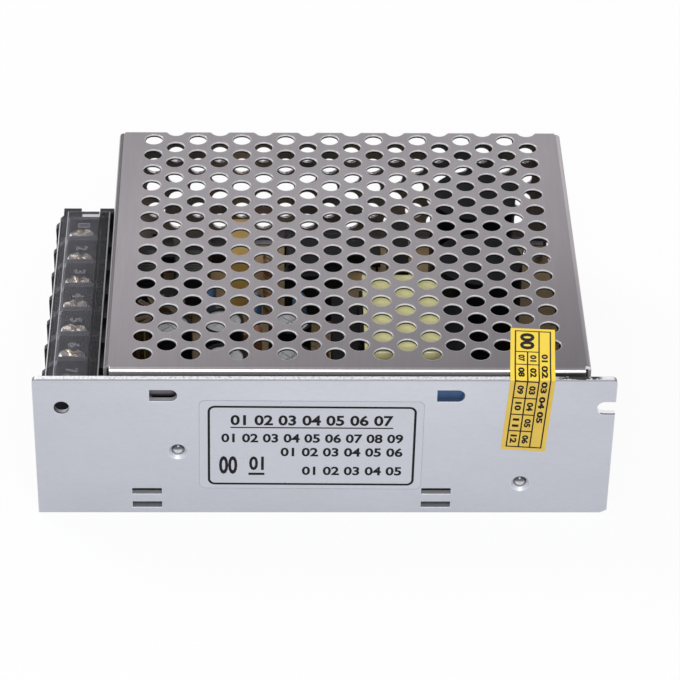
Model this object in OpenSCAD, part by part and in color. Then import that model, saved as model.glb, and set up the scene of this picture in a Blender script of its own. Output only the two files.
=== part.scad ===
// LED power supply in a folded aluminium chassis with a perforated steel cover,
// a seven-pole barrier terminal block under a hinged clear lid, and its circuit board.
// Every module draws in the case frame: X along the front wall from its left end,
// Y from the wall's outer face to the rear, Z up from the floor's underside.

/* [Chassis] */
// Length of the chassis, left end to right end
case_l = 129; // [126:1:140]
// Depth from the front wall to the rear flap
case_w = 98; // [96:1:106]
// Height of the front wall
wall_h = 38.4; // [37:0.2:39]
// Thickness of the aluminium sheet
sheet_t = 1.45; // [1.2:0.05:1.6]
// Outer radius of the chassis bends
bend_outer_r = 0.7; // [0.5:0.1:1.6]
// Inner radius of the chassis bends
bend_inner_r = 0.3; // [0.2:0.1:0.8]
// Radius of the wall's top corners
wall_corner_r = 1.1; // [0.6:0.1:2.5]
// Length of the chamfer at the wall's lower right corner
wall_chamfer = 2.1; // [1:0.1:2.5]
// Height of the chamfer at the wall's lower right corner
wall_chamfer_h = 1.2; // [0.8:0.1:1.8]
// Height of the rear lip
lip_h = 7.5; // [6.5:0.1:9]

/* [Wall openings] */
// Diameter of the side mounting hole
side_hole_d = 3.5; // [3:0.1:4]
// Distance of the side mounting hole from the left end
side_hole_x = 6.3; // [5:0.1:8]
// Height of the side mounting hole and of the open notch
side_hole_z = 30.6; // [29:0.1:32]
// Depth of the open notch at the right end
notch_depth = 4.1; // [3:0.1:5]
// Width of the open notch
notch_w = 3.5; // [3:0.1:4]
// Length of a D slot
d_slot_l = 6.2; // [5:0.1:7]
// Height of a D slot
d_slot_h = 3.2; // [2.6:0.1:3.6]
// Left end of the first D slot
d_slot_x = 25.7; // [24:0.1:28]
// Distance between the two D slots
d_slot_pitch = 63.6; // [58:0.1:66]
// Height of the D slots' centre line
d_slot_z = 34; // [33.5:0.1:34.5]
// Length of a slit
slit_l = 6.7; // [5:0.1:8]
// Height of a slit
slit_h = 1.7; // [1.4:0.1:1.9]
// Left end of the first pair of slits
slit_x = 21.3; // [19:0.1:23]
// Distance between the two pairs of slits
slit_pitch = 65.3; // [60:0.1:68]
// Width of the strip left between two slits
slit_strip = 2.2; // [2:0.1:2.6]
// Diameter of the countersink round a clamp screw
countersink_d = 4.4; // [3.8:0.1:4.8]

/* [Cover] */
// Thickness of the cover sheet
cover_t = 0.75; // [0.6:0.05:0.9]
// Height of the cover's top face
cover_h = 39.6; // [39.4:0.1:40.6]
// Distance of the cover's left flange from the left end
cover_left = 15.6; // [15.4:0.1:16.4]
// Distance of the cover's right flange from the right end
cover_right_gap = 5.6; // [5:0.1:6.4]
// Distance of the cover's front flange from the wall's outer face
cover_front = 2.2; // [2.1:0.05:2.4]
// Outer radius of the cover bends
cover_bend_r = 1; // [0.95:0.05:1.3]
// Height of the front flange
front_flange_h = 7.3; // [6:0.1:8]
// Height of the left flange
left_flange_h = 7.8; // [6:0.1:8.6]
// Size of the relief at each corner of the cover
corner_relief = 1.3; // [1.3:0.1:2.4]
// Clearance under the rear and right flanges
flange_clear = 0.4; // [0.2:0.1:0.8]

/* [Vents] */
// Diameter of a vent hole
vent_d = 4.4; // [3.6:0.1:4.6]
// Distance between vent columns
vent_pitch_x = 5.358; // [5.2:0.01:6]
// Distance between the holes of a column
vent_pitch_y = 6.621; // [6.4:0.01:7.2]
// Plain margin at the cover's left side
vent_margin_x = 8.4; // [7.5:0.1:10]
// Distance of the first row from the cover's front
vent_margin_y = 5.8; // [5:0.1:7]
// Plain margin above the rear flap's lower edge
vent_margin_z = 8.6; // [8.4:0.1:12]

/* [Terminals] */
// Distance between terminals
pole_pitch = 9.5; // [9:0.1:10]
// Distance of the rearmost terminal from the wall's outer face
pole_rear_y = 74; // [73:0.1:75]
// Distance of the terminal screws from the left end
pole_x = 7; // [6.8:0.1:7.3]
// Left face of the terminal block
block_left = 0.4; // [0.3:0.1:0.8]
// Right face of the terminal block
block_right = 14.6; // [14.2:0.1:14.9]
// Height of the contact seat above the board
seat_h = 13.2; // [12.6:0.1:13.6]
// Thickness of the barriers
barrier_t = 1.7; // [1.4:0.1:2]
// Height of the barriers above the contact seat
barrier_h = 6.7; // [6.3:0.1:6.9]
// Thickness of the block's end walls
end_wall_t = 2; // [1.8:0.1:2.4]
// Thickness of the contact plates
contact_t = 1; // [0.8:0.1:1.2]
// Side of a square clamp washer
washer_side = 6.8; // [6:0.1:7]
// Thickness of a clamp washer
washer_t = 1; // [0.8:0.1:1.1]
// Diameter of a terminal screw's head
head_d = 6.2; // [5.6:0.1:6.6]
// Height of a terminal screw's head
head_h = 2.2; // [1.8:0.1:2.3]
// Diameter of a terminal screw's shank
shank_d = 3.8; // [3.4:0.1:4]
// Length of a terminal screw's shank
shank_l = 9; // [7:0.5:10]
// Radial clearance of a terminal screw in its contact
thread_clear = 0.1; // [0.05:0.01:0.1]

/* [Lid] */
// Thickness of the clear lid
lid_t = 1.2; // [1:0.1:1.3]
// Height of the lid's top face above the contact seat
lid_h = 8.5; // [8.3:0.1:9]
// Distance of the hinge axis from the left end
hinge_x = 12.6; // [12.4:0.1:12.8]
// Depth of the hinge axis below the lid's top face
hinge_drop = 2.1; // [2:0.1:2.2]
// Diameter of the hinge pins
hinge_pin_d = 1.5; // [1.3:0.1:1.6]
// Radial clearance of a hinge pin
hinge_clear = 0.08; // [0.05:0.01:0.1]
// Clearance between the lid and the block's end walls
lid_end_clear = 0.6; // [0.3:0.1:0.8]

/* [Board] */
// Height of the board's underside
board_z = 5.9; // [5.4:0.1:6]
// Thickness of the board
board_t = 1.6; // [1.4:0.1:1.7]
// Clearance between the board and the chassis ends
board_clear = 0.8; // [0.7:0.1:1.2]
// Thickness of the insulating film
film_t = 0.25; // [0.1:0.05:0.4]
// Diameter of a board standoff
standoff_d = 6; // [5.5:0.1:7]
// Diameter of the screws in the board and the cover
screw_d = 2.9; // [2.4:0.1:3]
// Radial clearance of a screw in its thread
screw_clear = 0.05; // [0.03:0.01:0.1]
// Diameter of a small screw's head
screw_head_d = 5.4; // [4.8:0.1:5.8]
// Height of a small screw's head
screw_head_h = 1.9; // [1.6:0.1:2.2]
// Diameter of the threaded mounting holes in the floor
floor_hole_d = 2.5; // [2:0.1:3]
// Distance between the floor's mounting holes along the length
floor_hole_dx = 80; // [76:1:84]
// Distance between the floor's mounting holes along the depth
floor_hole_dy = 50; // [46:1:54]

/* [Components] */
// Diameter of a bulk capacitor
bulk_d = 20.5; // [18:0.5:21]
// Height of a bulk capacitor
bulk_h = 25; // [22:0.5:28]
// Diameter of an output capacitor
output_d = 10; // [8:0.5:10.4]
// Height of an output capacitor
output_h = 20; // [16:0.5:22]
// Thickness of a capacitor's sleeve
sleeve_t = 0.3; // [0.2:0.05:0.4]
// Length of the transformer winding between the core's backs
winding_l = 19.4; // [17:0.2:20]
// Thickness of the core's backs
core_back_t = 6; // [5:0.1:6.4]
// Depth of the transformer core
core_d = 29; // [27:0.5:30]
// Height of the transformer core
core_h = 13.5; // [12:0.5:14]
// Thickness of the tape wrap
tape_t = 0.5; // [0.3:0.1:0.7]
// Height of the winding above and below the core, together
winding_bulge = 13; // [10:0.5:13.5]
// Diameter of the output inductor
inductor_d = 15; // [13:0.5:15.4]
// Height of the output inductor's core
inductor_h = 8; // [6:0.5:9]
// Width of the line filter capacitor
filter_w = 6; // [5:0.1:6.4]
// Length of the line filter capacitor
filter_l = 18; // [16:0.5:18.5]
// Height of the line filter capacitor
filter_h = 14.5; // [12:0.5:18]
// Width of the bridge rectifier
bridge_w = 19; // [17:0.5:20]
// Length of the driver transformer
driver_l = 15; // [13:0.5:16]
// Depth of the driver transformer
driver_d = 19; // [16:0.5:20]
// Height of the driver transformer
driver_h = 15; // [12:0.5:18]
// Diameter of the fuse tube
fuse_d = 5.2; // [5:0.1:5.6]
// Length of the fuse tube
fuse_l = 20; // [18:0.5:21]
// Side of the trimmer's body
trimmer_side = 6.8; // [6:0.1:7]
// Height of the trimmer's body
trimmer_h = 5; // [4:0.1:6]
// Diameter of the trimmer's rotor
rotor_d = 3.6; // [3:0.1:4]
// Diameter of the indicator lamp
lamp_d = 3; // [2.6:0.1:3.4]

/* [Hidden] */
$fn = 48;
small_gap = 0.05;
cut = 1;

// Terminals, numbered from the rear to the front
pole_count = 7;
POLES = [1 : pole_count];

// Chassis and cover, derived
lip_gap = 0.25;
chassis_w = case_w - cover_t - lip_gap;
cover_right = case_l - cover_right_gap;
cover_w = cover_right - cover_left;
lip_left = cover_left + 2.4;
lip_right = cover_right - 2.4;
slit_low_z = sheet_t + 0.45;
slit_high_z = slit_low_z + slit_h + slit_strip;
flange_z = sheet_t + flange_clear;
lip_screw_z = 4.7;
lip_screw_inset = 18;
LIP_SCREW_X = [cover_left + lip_screw_inset, cover_right - lip_screw_inset];

// Vents, derived: a row index of n stands n half pitches behind the first row
vent_x0 = cover_left + vent_margin_x;
vent_y0 = cover_front + vent_margin_y;
vent_columns = 1 + floor((cover_w - 2 * vent_margin_x + 0.6) / vent_pitch_x);
bend_stretch = 0.5;
vent_r = vent_d / 2;
top_last_y = case_w - cover_bend_r - vent_r;
flap_first_u = case_w + cover_bend_r + vent_r - bend_stretch;
flap_last_u = case_w + cover_h - flange_z - vent_margin_z;
vent_rows = floor((flap_last_u - vent_y0) / (vent_pitch_y / 2));
function vent_x(column) = vent_x0 + column * vent_pitch_x;
function vent_u(row) = vent_y0 + row * vent_pitch_y / 2;
function flap_z(u) = cover_h - (u - case_w) - bend_stretch;
function has_vent(column, row) = (column % 2) == (row % 2);

// Board, derived
board_top = board_z + board_t;
board_left = board_clear;
board_right = cover_right - cover_t - board_clear;
board_front = sheet_t + board_clear;
board_rear = chassis_w - sheet_t - board_clear;
board_d = board_rear - board_front;
bay_left = cover_left + cover_t;
standoff_inset = 4;
standoff_rear = 5;
standoff_x = cover_left + standoff_inset;
STANDOFFS = [[standoff_x, 13], [standoff_x, board_rear - standoff_rear],
             [board_right - standoff_inset, 18], [board_right - standoff_inset, board_rear - standoff_rear]];

// Terminals, derived
seat_z = board_top + seat_h;
contact_z = seat_z;
washer_z = contact_z + contact_t + 0.3;
head_z = washer_z + washer_t + small_gap;
block_front = pole_y(pole_count) - pole_pitch / 2 - end_wall_t;
block_rear = pole_rear_y + pole_pitch / 2 + end_wall_t;
barrier_z = seat_z + barrier_h;
lid_slope_clear = 0.6;
lid_edge_r = 0.5;
slope_drop = 4;
barrier_slope_x = block_left + slope_drop;
barrier_left_z = barrier_z - slope_drop;
step_z = seat_z + 4.9;
step_x = hinge_x - 1.7;
lid_z = seat_z + lid_h;
hinge_z = lid_z - hinge_drop;
barrel_r = hinge_drop - 0.9;
lug_x = 11.2;
lug_w = block_right - lug_x;
lug_top = barrier_z + 0.9;
stop_x = 2.5;
stop_w = 4.2;
contact_w = pole_pitch - barrier_t - 0.8;
contact_leg_x = 12;
contact_leg_w = 4;
contact_right = contact_leg_x + contact_t;
function pole_y(i) = pole_rear_y - (i - 1) * pole_pitch;

// Power semiconductors on the front wall
pad_t = 0.3;
pad_margin = 2;
pad_lift = 0.6;
device_w = 10;
device_t = 4.4;
device_h = 15.2;
device_z = board_top + 2.6;
device_y = sheet_t + pad_t;
clamp_y = device_y + device_t;
clamp_t = 1.4;
clamp_back = clamp_y + clamp_t + screw_head_h;
rectifier_x = 31.8;
rectifier_screw_z = 18.1;
rectifier_pitch = 16;
switch_screw_inset = 14.5;
switch_screw_x = cover_right - switch_screw_inset;
switch_screw_z = 8.9;
switch_screw_reach = 15.1;
switch_x = switch_screw_x - switch_screw_reach;
switch_pitch = 11.4;
switch_clamp_z = device_z + 5;
switch_clamp_h = 6;
switch_jog_x = switch_x + switch_pitch / 2 + device_w / 2 + 0.6;
switch_foot_right = switch_screw_x + 4;
switch_foot_z = switch_screw_z - 3;
switch_pad_top = d_slot_z + d_slot_h / 2 + 1;

// Transformer and bulk capacitors fill the depth behind the clamps, with the rest shared as gaps
part_gap = 0.4;
bulk_inset = 21.8;
bulk_x = cover_right - bulk_inset;
depth_slack = board_rear - clamp_back - core_d - 2 * bulk_d - part_gap;
transformer_y = clamp_back + depth_slack * 0.34 + core_d / 2;
transformer_rear = transformer_y + core_d / 2;
BULK_Y = [board_rear - depth_slack * 0.26 - bulk_d / 2, transformer_rear + part_gap + bulk_d / 2];
bulk_left = bulk_x - bulk_d / 2;
core_half_l = core_back_t + winding_l / 2;
transformer_inset = 23.8;
transformer_x = board_right - transformer_inset - core_half_l;
transformer_left = transformer_x - core_half_l;
core_raise = 8;
core_z = board_top + core_raise;
leg_d = 4.6;
middle_leg_d = 8;
window_d = (core_d - 2 * leg_d - middle_leg_d) / 2;
bobbin_wall = 0.7;
bobbin_clear = 0.15;
bobbin_side_gap = 0.3;
bobbin_flange_gap = 1;
rail_inset = 2;

// Output capacitors stand in two rows between the left flange and the transformer
row_slack = transformer_left - bay_left - 3 * output_d;
output_1_x = bay_left + row_slack * 0.395 + output_d / 2;
output_2_x = output_1_x + output_d + row_slack * 0.095;
output_3_x = output_2_x + output_d + row_slack * 0.28;
row_front_y = board_front + board_d * 0.223;
row_rear_y = board_front + board_d * 0.37;
OUTPUT_XY = [[output_1_x, row_rear_y - 1.8], [output_2_x, row_rear_y], [output_3_x, row_rear_y],
             [output_2_x + row_slack * 0.03, row_front_y], [output_3_x, row_front_y]];
row_rear_back = row_rear_y + output_d / 2;

// Fuse, choke and inductor follow one another from the rear to the output capacitors
fuse_x = standoff_x + screw_head_d / 2 + 0.7 + fuse_l / 2;
fuse_y = board_rear - 6;
clip_t = 0.4;
fuse_front = fuse_y - fuse_d / 2 - small_gap - clip_t;
choke_x = bay_left + 11.2;
choke_pitch = 11.6;
choke_leg = 4.6;
choke_wound = 9;
choke_l = 12;
choke_clear = 0.1;
choke_half = choke_l / 2 + choke_leg;
choke_y = fuse_front - 1 - choke_half;
choke_front = choke_y - choke_half;
choke_z = board_top + choke_wound / 2 - choke_leg / 2;
inductor_x = bay_left + inductor_d / 2 + 2.6;
inductor_y = (choke_front + row_rear_back - 1.8) / 2;
wire_d = 1.3;
wire_clear = 0.1;
ring_outer_r = inductor_d / 2 - wire_d - wire_clear;
ring_inner_r = inductor_d * 0.27;

// Filter capacitor, driver transformer and bridge share the length up to the bulk capacitors
resistor_d = 3.2;
bridge_t = 4.6;
filter_x = 45.7;
filter_y = board_rear - filter_l / 2 - 9.4;
filter_right = filter_x + filter_w / 2;
length_slack = bulk_left - filter_right - resistor_d - driver_l - bridge_t;
lead_x = filter_right + length_slack * 0.1 + resistor_d / 2;
driver_x = filter_right + length_slack * 0.2 + resistor_d + driver_l / 2;
bridge_x = bulk_left - length_slack * 0.29 - bridge_t / 2;
chip_x = driver_x + 6.6;
chip_y = board_rear - 7;
chip_d = 8;
chip_front = chip_y - chip_d / 2;
bridge_y = chip_front - 1.7 - bridge_w / 2;
driver_y = chip_front - 1.7 - driver_d / 2;

// Small parts
disc_d = 8.4;
disc_t = 3.4;
brown_w = 6;
brown_h = 9;
brown_t = 4;
green_w = 10;
green_h = 11;
green_t = 4.4;
BROWN_XY = [filter_x + 1.8, row_rear_back + brown_t / 2 + 2];
GREEN_XY = [cover_right - 17.4, row_front_y - 1];
disc_3_y = driver_y - driver_d / 2 - disc_d / 2 - 1;
DISCS = [[choke_x + 10.2, choke_front - 0.5], [filter_x + 3, (BROWN_XY[1] + filter_y - filter_l / 2) / 2 + 1],
         [driver_x - 4, disc_3_y]];
RESISTORS = [[cover_right - 10.8, row_rear_y - 3, 0], [cover_right - 10.4, row_rear_y + 1.6, 0],
             [lead_x, filter_y - 6.8, 90], [lead_x, filter_y + 7.4, 90],
             [driver_x - 3.5, (row_rear_back + disc_3_y - disc_d / 2) / 2, 0],
             [transformer_x - 2.3, transformer_rear + 7.5, 0], [bay_left + 5, row_front_y + 4, 90]];
front_gap_y = (sheet_t + block_front) / 2;
TRIMMER_XY = [6, front_gap_y];
LAMP_XY = [11.4, front_gap_y];

module centred()
{
    translate([-case_l / 2, -case_w / 2, 0])
        children();
}

// Sheet metal helpers

// Extrudes a section drawn in Y and Z along X
module along_x(x, length)
{
    translate([x, 0, 0])
        rotate([90, 0, 90])
            linear_extrude(length)
                children();
}

// Extrudes a shape drawn in X and Z along Y, from y to y + length
module along_y(y, length)
{
    translate([0, y + length, 0])
        rotate([90, 0, 0])
            linear_extrude(length)
                children();
}

// A round bar along Y
module bar_y(x, y, z, d, length)
{
    translate([x, y, z])
        rotate([-90, 0, 0])
            cylinder(d = d, h = length);
}

// Rectangle with exact round corners
module round_rect(w, h, r)
{
    translate([r, 0])
        square([w - 2 * r, h]);
    translate([0, r])
        square([w, h - 2 * r]);
    for (x = [r, w - r], y = [r, h - r])
        translate([x, y])
            circle(r = r);
}

// Outside of a round corner, for cutting
module corner_cut(r)
{
    difference() {
        translate([-cut, -cut])
            square([r + cut, r + cut]);
        translate([r, r])
            circle(r = r);
    }
}

// Upright rectangle whose two lower corners are round
module trough(w, h, r)
{
    difference() {
        square([w, h]);
        corner_cut(r);
        translate([w, 0])
            mirror([1, 0])
                corner_cut(r);
    }
}

// Chassis

module chassis_section()
{
    difference() {
        trough(chassis_w, wall_h, bend_outer_r);
        translate([sheet_t, sheet_t])
            trough(chassis_w - 2 * sheet_t, wall_h, bend_inner_r);
        translate([chassis_w - sheet_t - cut, lip_h])
            square([sheet_t + 2 * cut, wall_h]);
    }
}

module d_slot(x)
{
    translate([x, d_slot_z - d_slot_h / 2])
        square([d_slot_l - d_slot_h / 2, d_slot_h]);
    translate([x + d_slot_l - d_slot_h / 2, d_slot_z])
        circle(d = d_slot_h);
}

module wall_openings()
{
    translate([side_hole_x, side_hole_z])
        circle(d = side_hole_d);
    translate([case_l - notch_depth + notch_w / 2, side_hole_z])
        circle(d = notch_w);
    translate([case_l - notch_depth + notch_w / 2, side_hole_z - notch_w / 2])
        square([notch_depth, notch_w]);
    for (x = [d_slot_x, d_slot_x + d_slot_pitch])
        d_slot(x);
    for (x = [slit_x, slit_x + slit_pitch], z = [slit_low_z, slit_high_z])
        translate([x, z])
            square([slit_l, slit_h]);
    for (p = [[rectifier_x, rectifier_screw_z], [switch_screw_x, switch_screw_z]])
        translate(p)
            circle(d = screw_d + 2 * screw_clear);
    translate([0, wall_h])
        mirror([0, 1])
            corner_cut(wall_corner_r);
    translate([case_l, wall_h])
        rotate(180)
            corner_cut(wall_corner_r);
}

module chassis()
{
    sink_h = (countersink_d - screw_d) / 2;
    color([0.75, 0.76, 0.79])
        difference() {
            along_x(0, case_l)
                chassis_section();
            along_y(-cut, sheet_t + 2 * cut)
                wall_openings();
            // Countersinks of the clamp screws
            for (p = [[rectifier_x, rectifier_screw_z], [switch_screw_x, switch_screw_z]])
                translate([p[0], 0, p[1]])
                    rotate([-90, 0, 0])
                        translate([0, 0, -small_gap])
                            cylinder(d1 = countersink_d, d2 = screw_d, h = sink_h + small_gap);
            // Chamfer at the lower right corner of the wall
            along_y(-cut, sheet_t + cut)
                polygon([[case_l - wall_chamfer, -cut], [case_l + cut, -cut], [case_l + cut, wall_chamfer_h],
                         [case_l, wall_chamfer_h], [case_l - wall_chamfer, 0]]);
            // Ends of the rear lip
            for (end = [[-cut, lip_left], [lip_right, case_l + cut]])
                translate([end[0], chassis_w - sheet_t, -cut])
                    cube([end[1] - end[0], sheet_t + cut, lip_h + 2 * cut]);
            // Threads of the cover screws
            for (x = LIP_SCREW_X)
                bar_y(x, chassis_w - 2 * sheet_t, lip_screw_z, screw_d + 2 * screw_clear, 4 * sheet_t);
            // Threaded mounting holes in the floor
            for (x = [-1, 1], y = [-1, 1])
                translate([(case_l + x * floor_hole_dx) / 2, (case_w + y * floor_hole_dy) / 2, -cut])
                    cylinder(d = floor_hole_d, h = sheet_t + 2 * cut);
        }
}

// Cover

// One vent hole where the row falls: on the top, on the rear flap, or over the bend
module vent_cut(x, u)
{
    y = u <= top_last_y ? u : u + bend_stretch;
    if (u - vent_r < case_w)
        translate([x, y, cover_h - cover_bend_r - small_gap])
            cylinder(r = vent_r, h = cover_bend_r + cut);
    if (u > top_last_y)
        bar_y(x, case_w - cover_bend_r - small_gap, flap_z(u), vent_d, cover_bend_r + cut);
}

// Top sheet with a flange at each side, drawn with the flanges up
module cover_section(w, short_h, long_h)
{
    difference() {
        trough(w, long_h, cover_bend_r);
        translate([cover_t, cover_t])
            trough(w - 2 * cover_t, long_h, cover_bend_r - cover_t);
        translate([-cut, short_h])
            square([cover_t + 2 * cut, long_h]);
    }
}

module cover_blank()
{
    long_h = cover_h - flange_z;
    depth = case_w - cover_front;
    // Front flange and rear flap
    along_x(cover_left + corner_relief, cover_w - 2 * corner_relief)
        translate([cover_front, cover_h])
            mirror([0, 1])
                cover_section(depth, front_flange_h, long_h);
    // Left flange above the terminals, and right flange down to the floor
    along_y(cover_front + corner_relief, depth - 2 * corner_relief)
        translate([cover_left, cover_h])
            mirror([0, 1])
                cover_section(cover_w, left_flange_h, long_h);
}

module cover()
{
    color([0.6, 0.59, 0.61])
        difference() {
            cover_blank();
            for (column = [0 : vent_columns - 1], row = [0 : vent_rows])
                if (has_vent(column, row))
                    vent_cut(vent_x(column), vent_u(row));
            for (x = LIP_SCREW_X)
                bar_y(x, case_w - 2 * cover_t, lip_screw_z, screw_d + 4 * screw_clear, 3 * cover_t);
        }
}

// Half section of a screw head whose upper edge is rounded
module rounded_head(r, h, edge)
{
    square([r, h - edge]);
    square([r - edge, h]);
    intersection() {
        translate([r - edge, h - edge])
            circle(r = edge);
        square([r, h]);
    }
}

// Small pan head screw with a cross recess: head up, its seat at z = 0
module pan_screw(length)
{
    recess = screw_head_d * 0.6;
    difference() {
        union() {
            rotate_extrude()
                rounded_head(screw_head_d / 2, screw_head_h, 0.8);
            translate([0, 0, -length])
                cylinder(d = screw_d, h = length);
        }
        for (a = [0, 90])
            rotate(a)
                translate([-recess / 2, -0.35, screw_head_h - 1])
                    cube([recess, 0.7, 2]);
    }
}

module cover_screws()
{
    color([0.7, 0.7, 0.72])
        for (x = LIP_SCREW_X)
            translate([x, case_w, lip_screw_z])
                rotate([-90, 0, 0])
                    pan_screw(cover_t + lip_gap + sheet_t + 0.4);
}

// Domed end of a screw, rising from z = 0
module screw_dome(r, h)
{
    dome_r = (r * r + h * h) / (2 * h);
    rotate_extrude()
        intersection() {
            translate([0, h - dome_r])
                circle(r = dome_r);
            square([r, h]);
        }
}

module clamp_screws()
{
    dome_h = 0.8;
    dome_y = 0.3;
    end_y = dome_y + dome_h;
    color([0.8, 0.8, 0.82])
        for (p = [[rectifier_x, clamp_y + clamp_t, rectifier_screw_z],
                  [switch_screw_x, sheet_t + clamp_t, switch_screw_z]]) {
            translate(p)
                rotate([-90, 0, 0])
                    pan_screw(p[1] - end_y);
            translate([p[0], end_y + small_gap, p[2]])
                rotate([90, 0, 0])
                    screw_dome(screw_d / 2, dome_h + small_gap);
        }
}

// Board and what carries it

module insulating_film()
{
    color([0.16, 0.16, 0.17])
        translate([0, 0, sheet_t])
            linear_extrude(film_t)
                difference() {
                    translate([board_left, board_front + 0.6])
                        square([board_right - board_left, board_rear - board_front - 1.2]);
                    for (p = STANDOFFS)
                        translate(p)
                            circle(d = standoff_d + 0.6);
                }
}

module board_standoffs()
{
    color([0.78, 0.78, 0.8])
        for (p = STANDOFFS)
            translate([p[0], p[1], sheet_t])
                difference() {
                    cylinder(d = standoff_d, h = board_z - sheet_t);
                    translate([0, 0, 0.6])
                        cylinder(d = screw_d + 2 * screw_clear, h = board_z);
                }
}

module board_screws()
{
    color([0.8, 0.8, 0.82])
        for (p = STANDOFFS)
            translate([p[0], p[1], board_top])
                pan_screw(board_t + 3);
}

module circuit_board()
{
    color([0.62, 0.47, 0.3])
        translate([0, 0, board_z])
            linear_extrude(board_t)
                difference() {
                    translate([board_left, board_front])
                        square([board_right - board_left, board_rear - board_front]);
                    for (p = STANDOFFS)
                        translate(p)
                            circle(d = screw_d + 6 * screw_clear);
                    // Room for the transistor clamp's foot and screw
                    translate([switch_jog_x - 0.5, board_front - cut])
                        square([switch_foot_right - switch_jog_x + 1, 4 + cut]);
                    for (i = POLES)
                        translate([contact_leg_x - small_gap, pole_y(i) - contact_leg_w / 2 - small_gap])
                            square([contact_t + 2 * small_gap, contact_leg_w + 2 * small_gap]);
                }
}

// Terminals

// Side view of a barrier in X and Z, with the step for the lid's hinge barrel
module barrier_section()
{
    polygon([[block_left, seat_z - 2], [block_left, barrier_left_z], [barrier_slope_x, barrier_z],
             [step_x, barrier_z], [step_x, step_z], [block_right, step_z], [block_right, seat_z - 2]]);
}

module end_wall(y)
{
    along_y(y, end_wall_t)
        difference() {
            union() {
                barrier_section();
                // Lug of the hinge
                translate([lug_x, step_z - cut])
                    square([lug_w, lug_top - step_z + cut]);
                // Lug beside the lid's left half
                translate([stop_x, barrier_left_z])
                    square([stop_w, lug_top - barrier_left_z]);
            }
            translate([hinge_x, hinge_z])
                circle(r = hinge_pin_d / 2 + hinge_clear);
        }
}

module terminal_block()
{
    slot = small_gap;
    color([0.09, 0.09, 0.1])
        difference() {
            union() {
                translate([block_left, block_front, board_top])
                    cube([block_right - block_left, block_rear - block_front, seat_h]);
                for (i = [1 : pole_count - 1])
                    along_y(pole_y(i) - pole_pitch / 2 - barrier_t / 2, barrier_t)
                        barrier_section();
                end_wall(block_front);
                end_wall(block_rear - end_wall_t);
                // Back wall behind the contacts
                translate([contact_right + 0.5, block_front, seat_z - cut])
                    cube([block_right - contact_right - 0.5, block_rear - block_front, 3 + cut]);
            }
            for (i = POLES) {
                // Well of the screw's end
                translate([pole_x, pole_y(i), seat_z - shank_l])
                    cylinder(d = shank_d + 1.6, h = shank_l + cut);
                // Slot of the contact's leg
                translate([contact_leg_x - slot, pole_y(i) - contact_leg_w / 2 - slot, board_top - cut])
                    cube([contact_t + 2 * slot, contact_leg_w + 2 * slot, seat_h + 2 * cut]);
                // Sloped lead-in under the wire
                along_y(pole_y(i) - (pole_pitch - barrier_t) / 2, pole_pitch - barrier_t)
                    polygon([[block_left - cut, seat_z + cut], [block_left - cut, seat_z - 2.6],
                             [block_left, seat_z - 2.6], [block_left + 1.8, seat_z],
                             [block_left + 1.8, seat_z + cut]]);
            }
        }
}

module terminal_contacts()
{
    color([0.8, 0.68, 0.4])
        for (i = POLES)
            difference() {
                union() {
                    translate([block_left + 2.4, pole_y(i) - contact_w / 2, contact_z])
                        cube([contact_right - block_left - 2.4, contact_w, contact_t]);
                    translate([contact_leg_x, pole_y(i) - contact_leg_w / 2, board_z - 1.2])
                        cube([contact_t, contact_leg_w, contact_z - board_z + 1.2 + contact_t / 2]);
                }
                translate([pole_x, pole_y(i), contact_z - cut])
                    cylinder(r = shank_d / 2 + thread_clear, h = contact_t + 2 * cut);
            }
}

module clamp_washer(i)
{
    color([0.78, 0.76, 0.7])
        translate([pole_x, pole_y(i), washer_z])
            linear_extrude(washer_t)
                difference() {
                    translate([-washer_side / 2, -washer_side / 2])
                        round_rect(washer_side, washer_side, 0.6);
                    circle(r = shank_d / 2 + 2 * thread_clear);
                }
}

module terminal_screw(i)
{
    recess = head_d * 0.62;
    edge = 0.7;
    color([0.8, 0.77, 0.7])
        translate([pole_x, pole_y(i), head_z])
            difference() {
                union() {
                    rotate_extrude()
                        rounded_head(head_d / 2, head_h, edge);
                    translate([0, 0, -shank_l + edge])
                        cylinder(d = shank_d, h = shank_l - edge + small_gap);
                    translate([0, 0, -shank_l])
                        cylinder(d1 = shank_d - 2 * edge, d2 = shank_d, h = edge);
                }
                for (a = [0, 90])
                    rotate(a + 35)
                        translate([-recess / 2, -0.45, head_h - 1.3])
                            cube([recess, 0.9, 2]);
            }
}

// Side view of the lid in X and Z: barrel, top plate, and a skirt along the barriers' slope
module lid_section()
{
    inner = barrier_left_z - block_left + lid_slope_clear * sqrt(2);
    outer = inner + lid_t * sqrt(2);
    skirt_x = block_left + 2;
    end = lid_t / sqrt(2);
    under = lid_z - lid_t;
    polygon([[hinge_x, lid_z], [lid_z - outer, lid_z], [skirt_x - end, skirt_x - end + outer],
             [skirt_x, skirt_x + inner], [under - inner, under], [hinge_x, under]]);
    translate([hinge_x, hinge_z])
        circle(r = barrel_r);
    translate([hinge_x - barrel_r, hinge_z])
        square([2 * barrel_r, lid_z - hinge_z - lid_edge_r]);
    translate([hinge_x - barrel_r, under])
        square([2 * barrel_r - lid_edge_r, lid_t]);
    translate([hinge_x + barrel_r - lid_edge_r, lid_z - lid_edge_r])
        circle(r = lid_edge_r);
}

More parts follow.
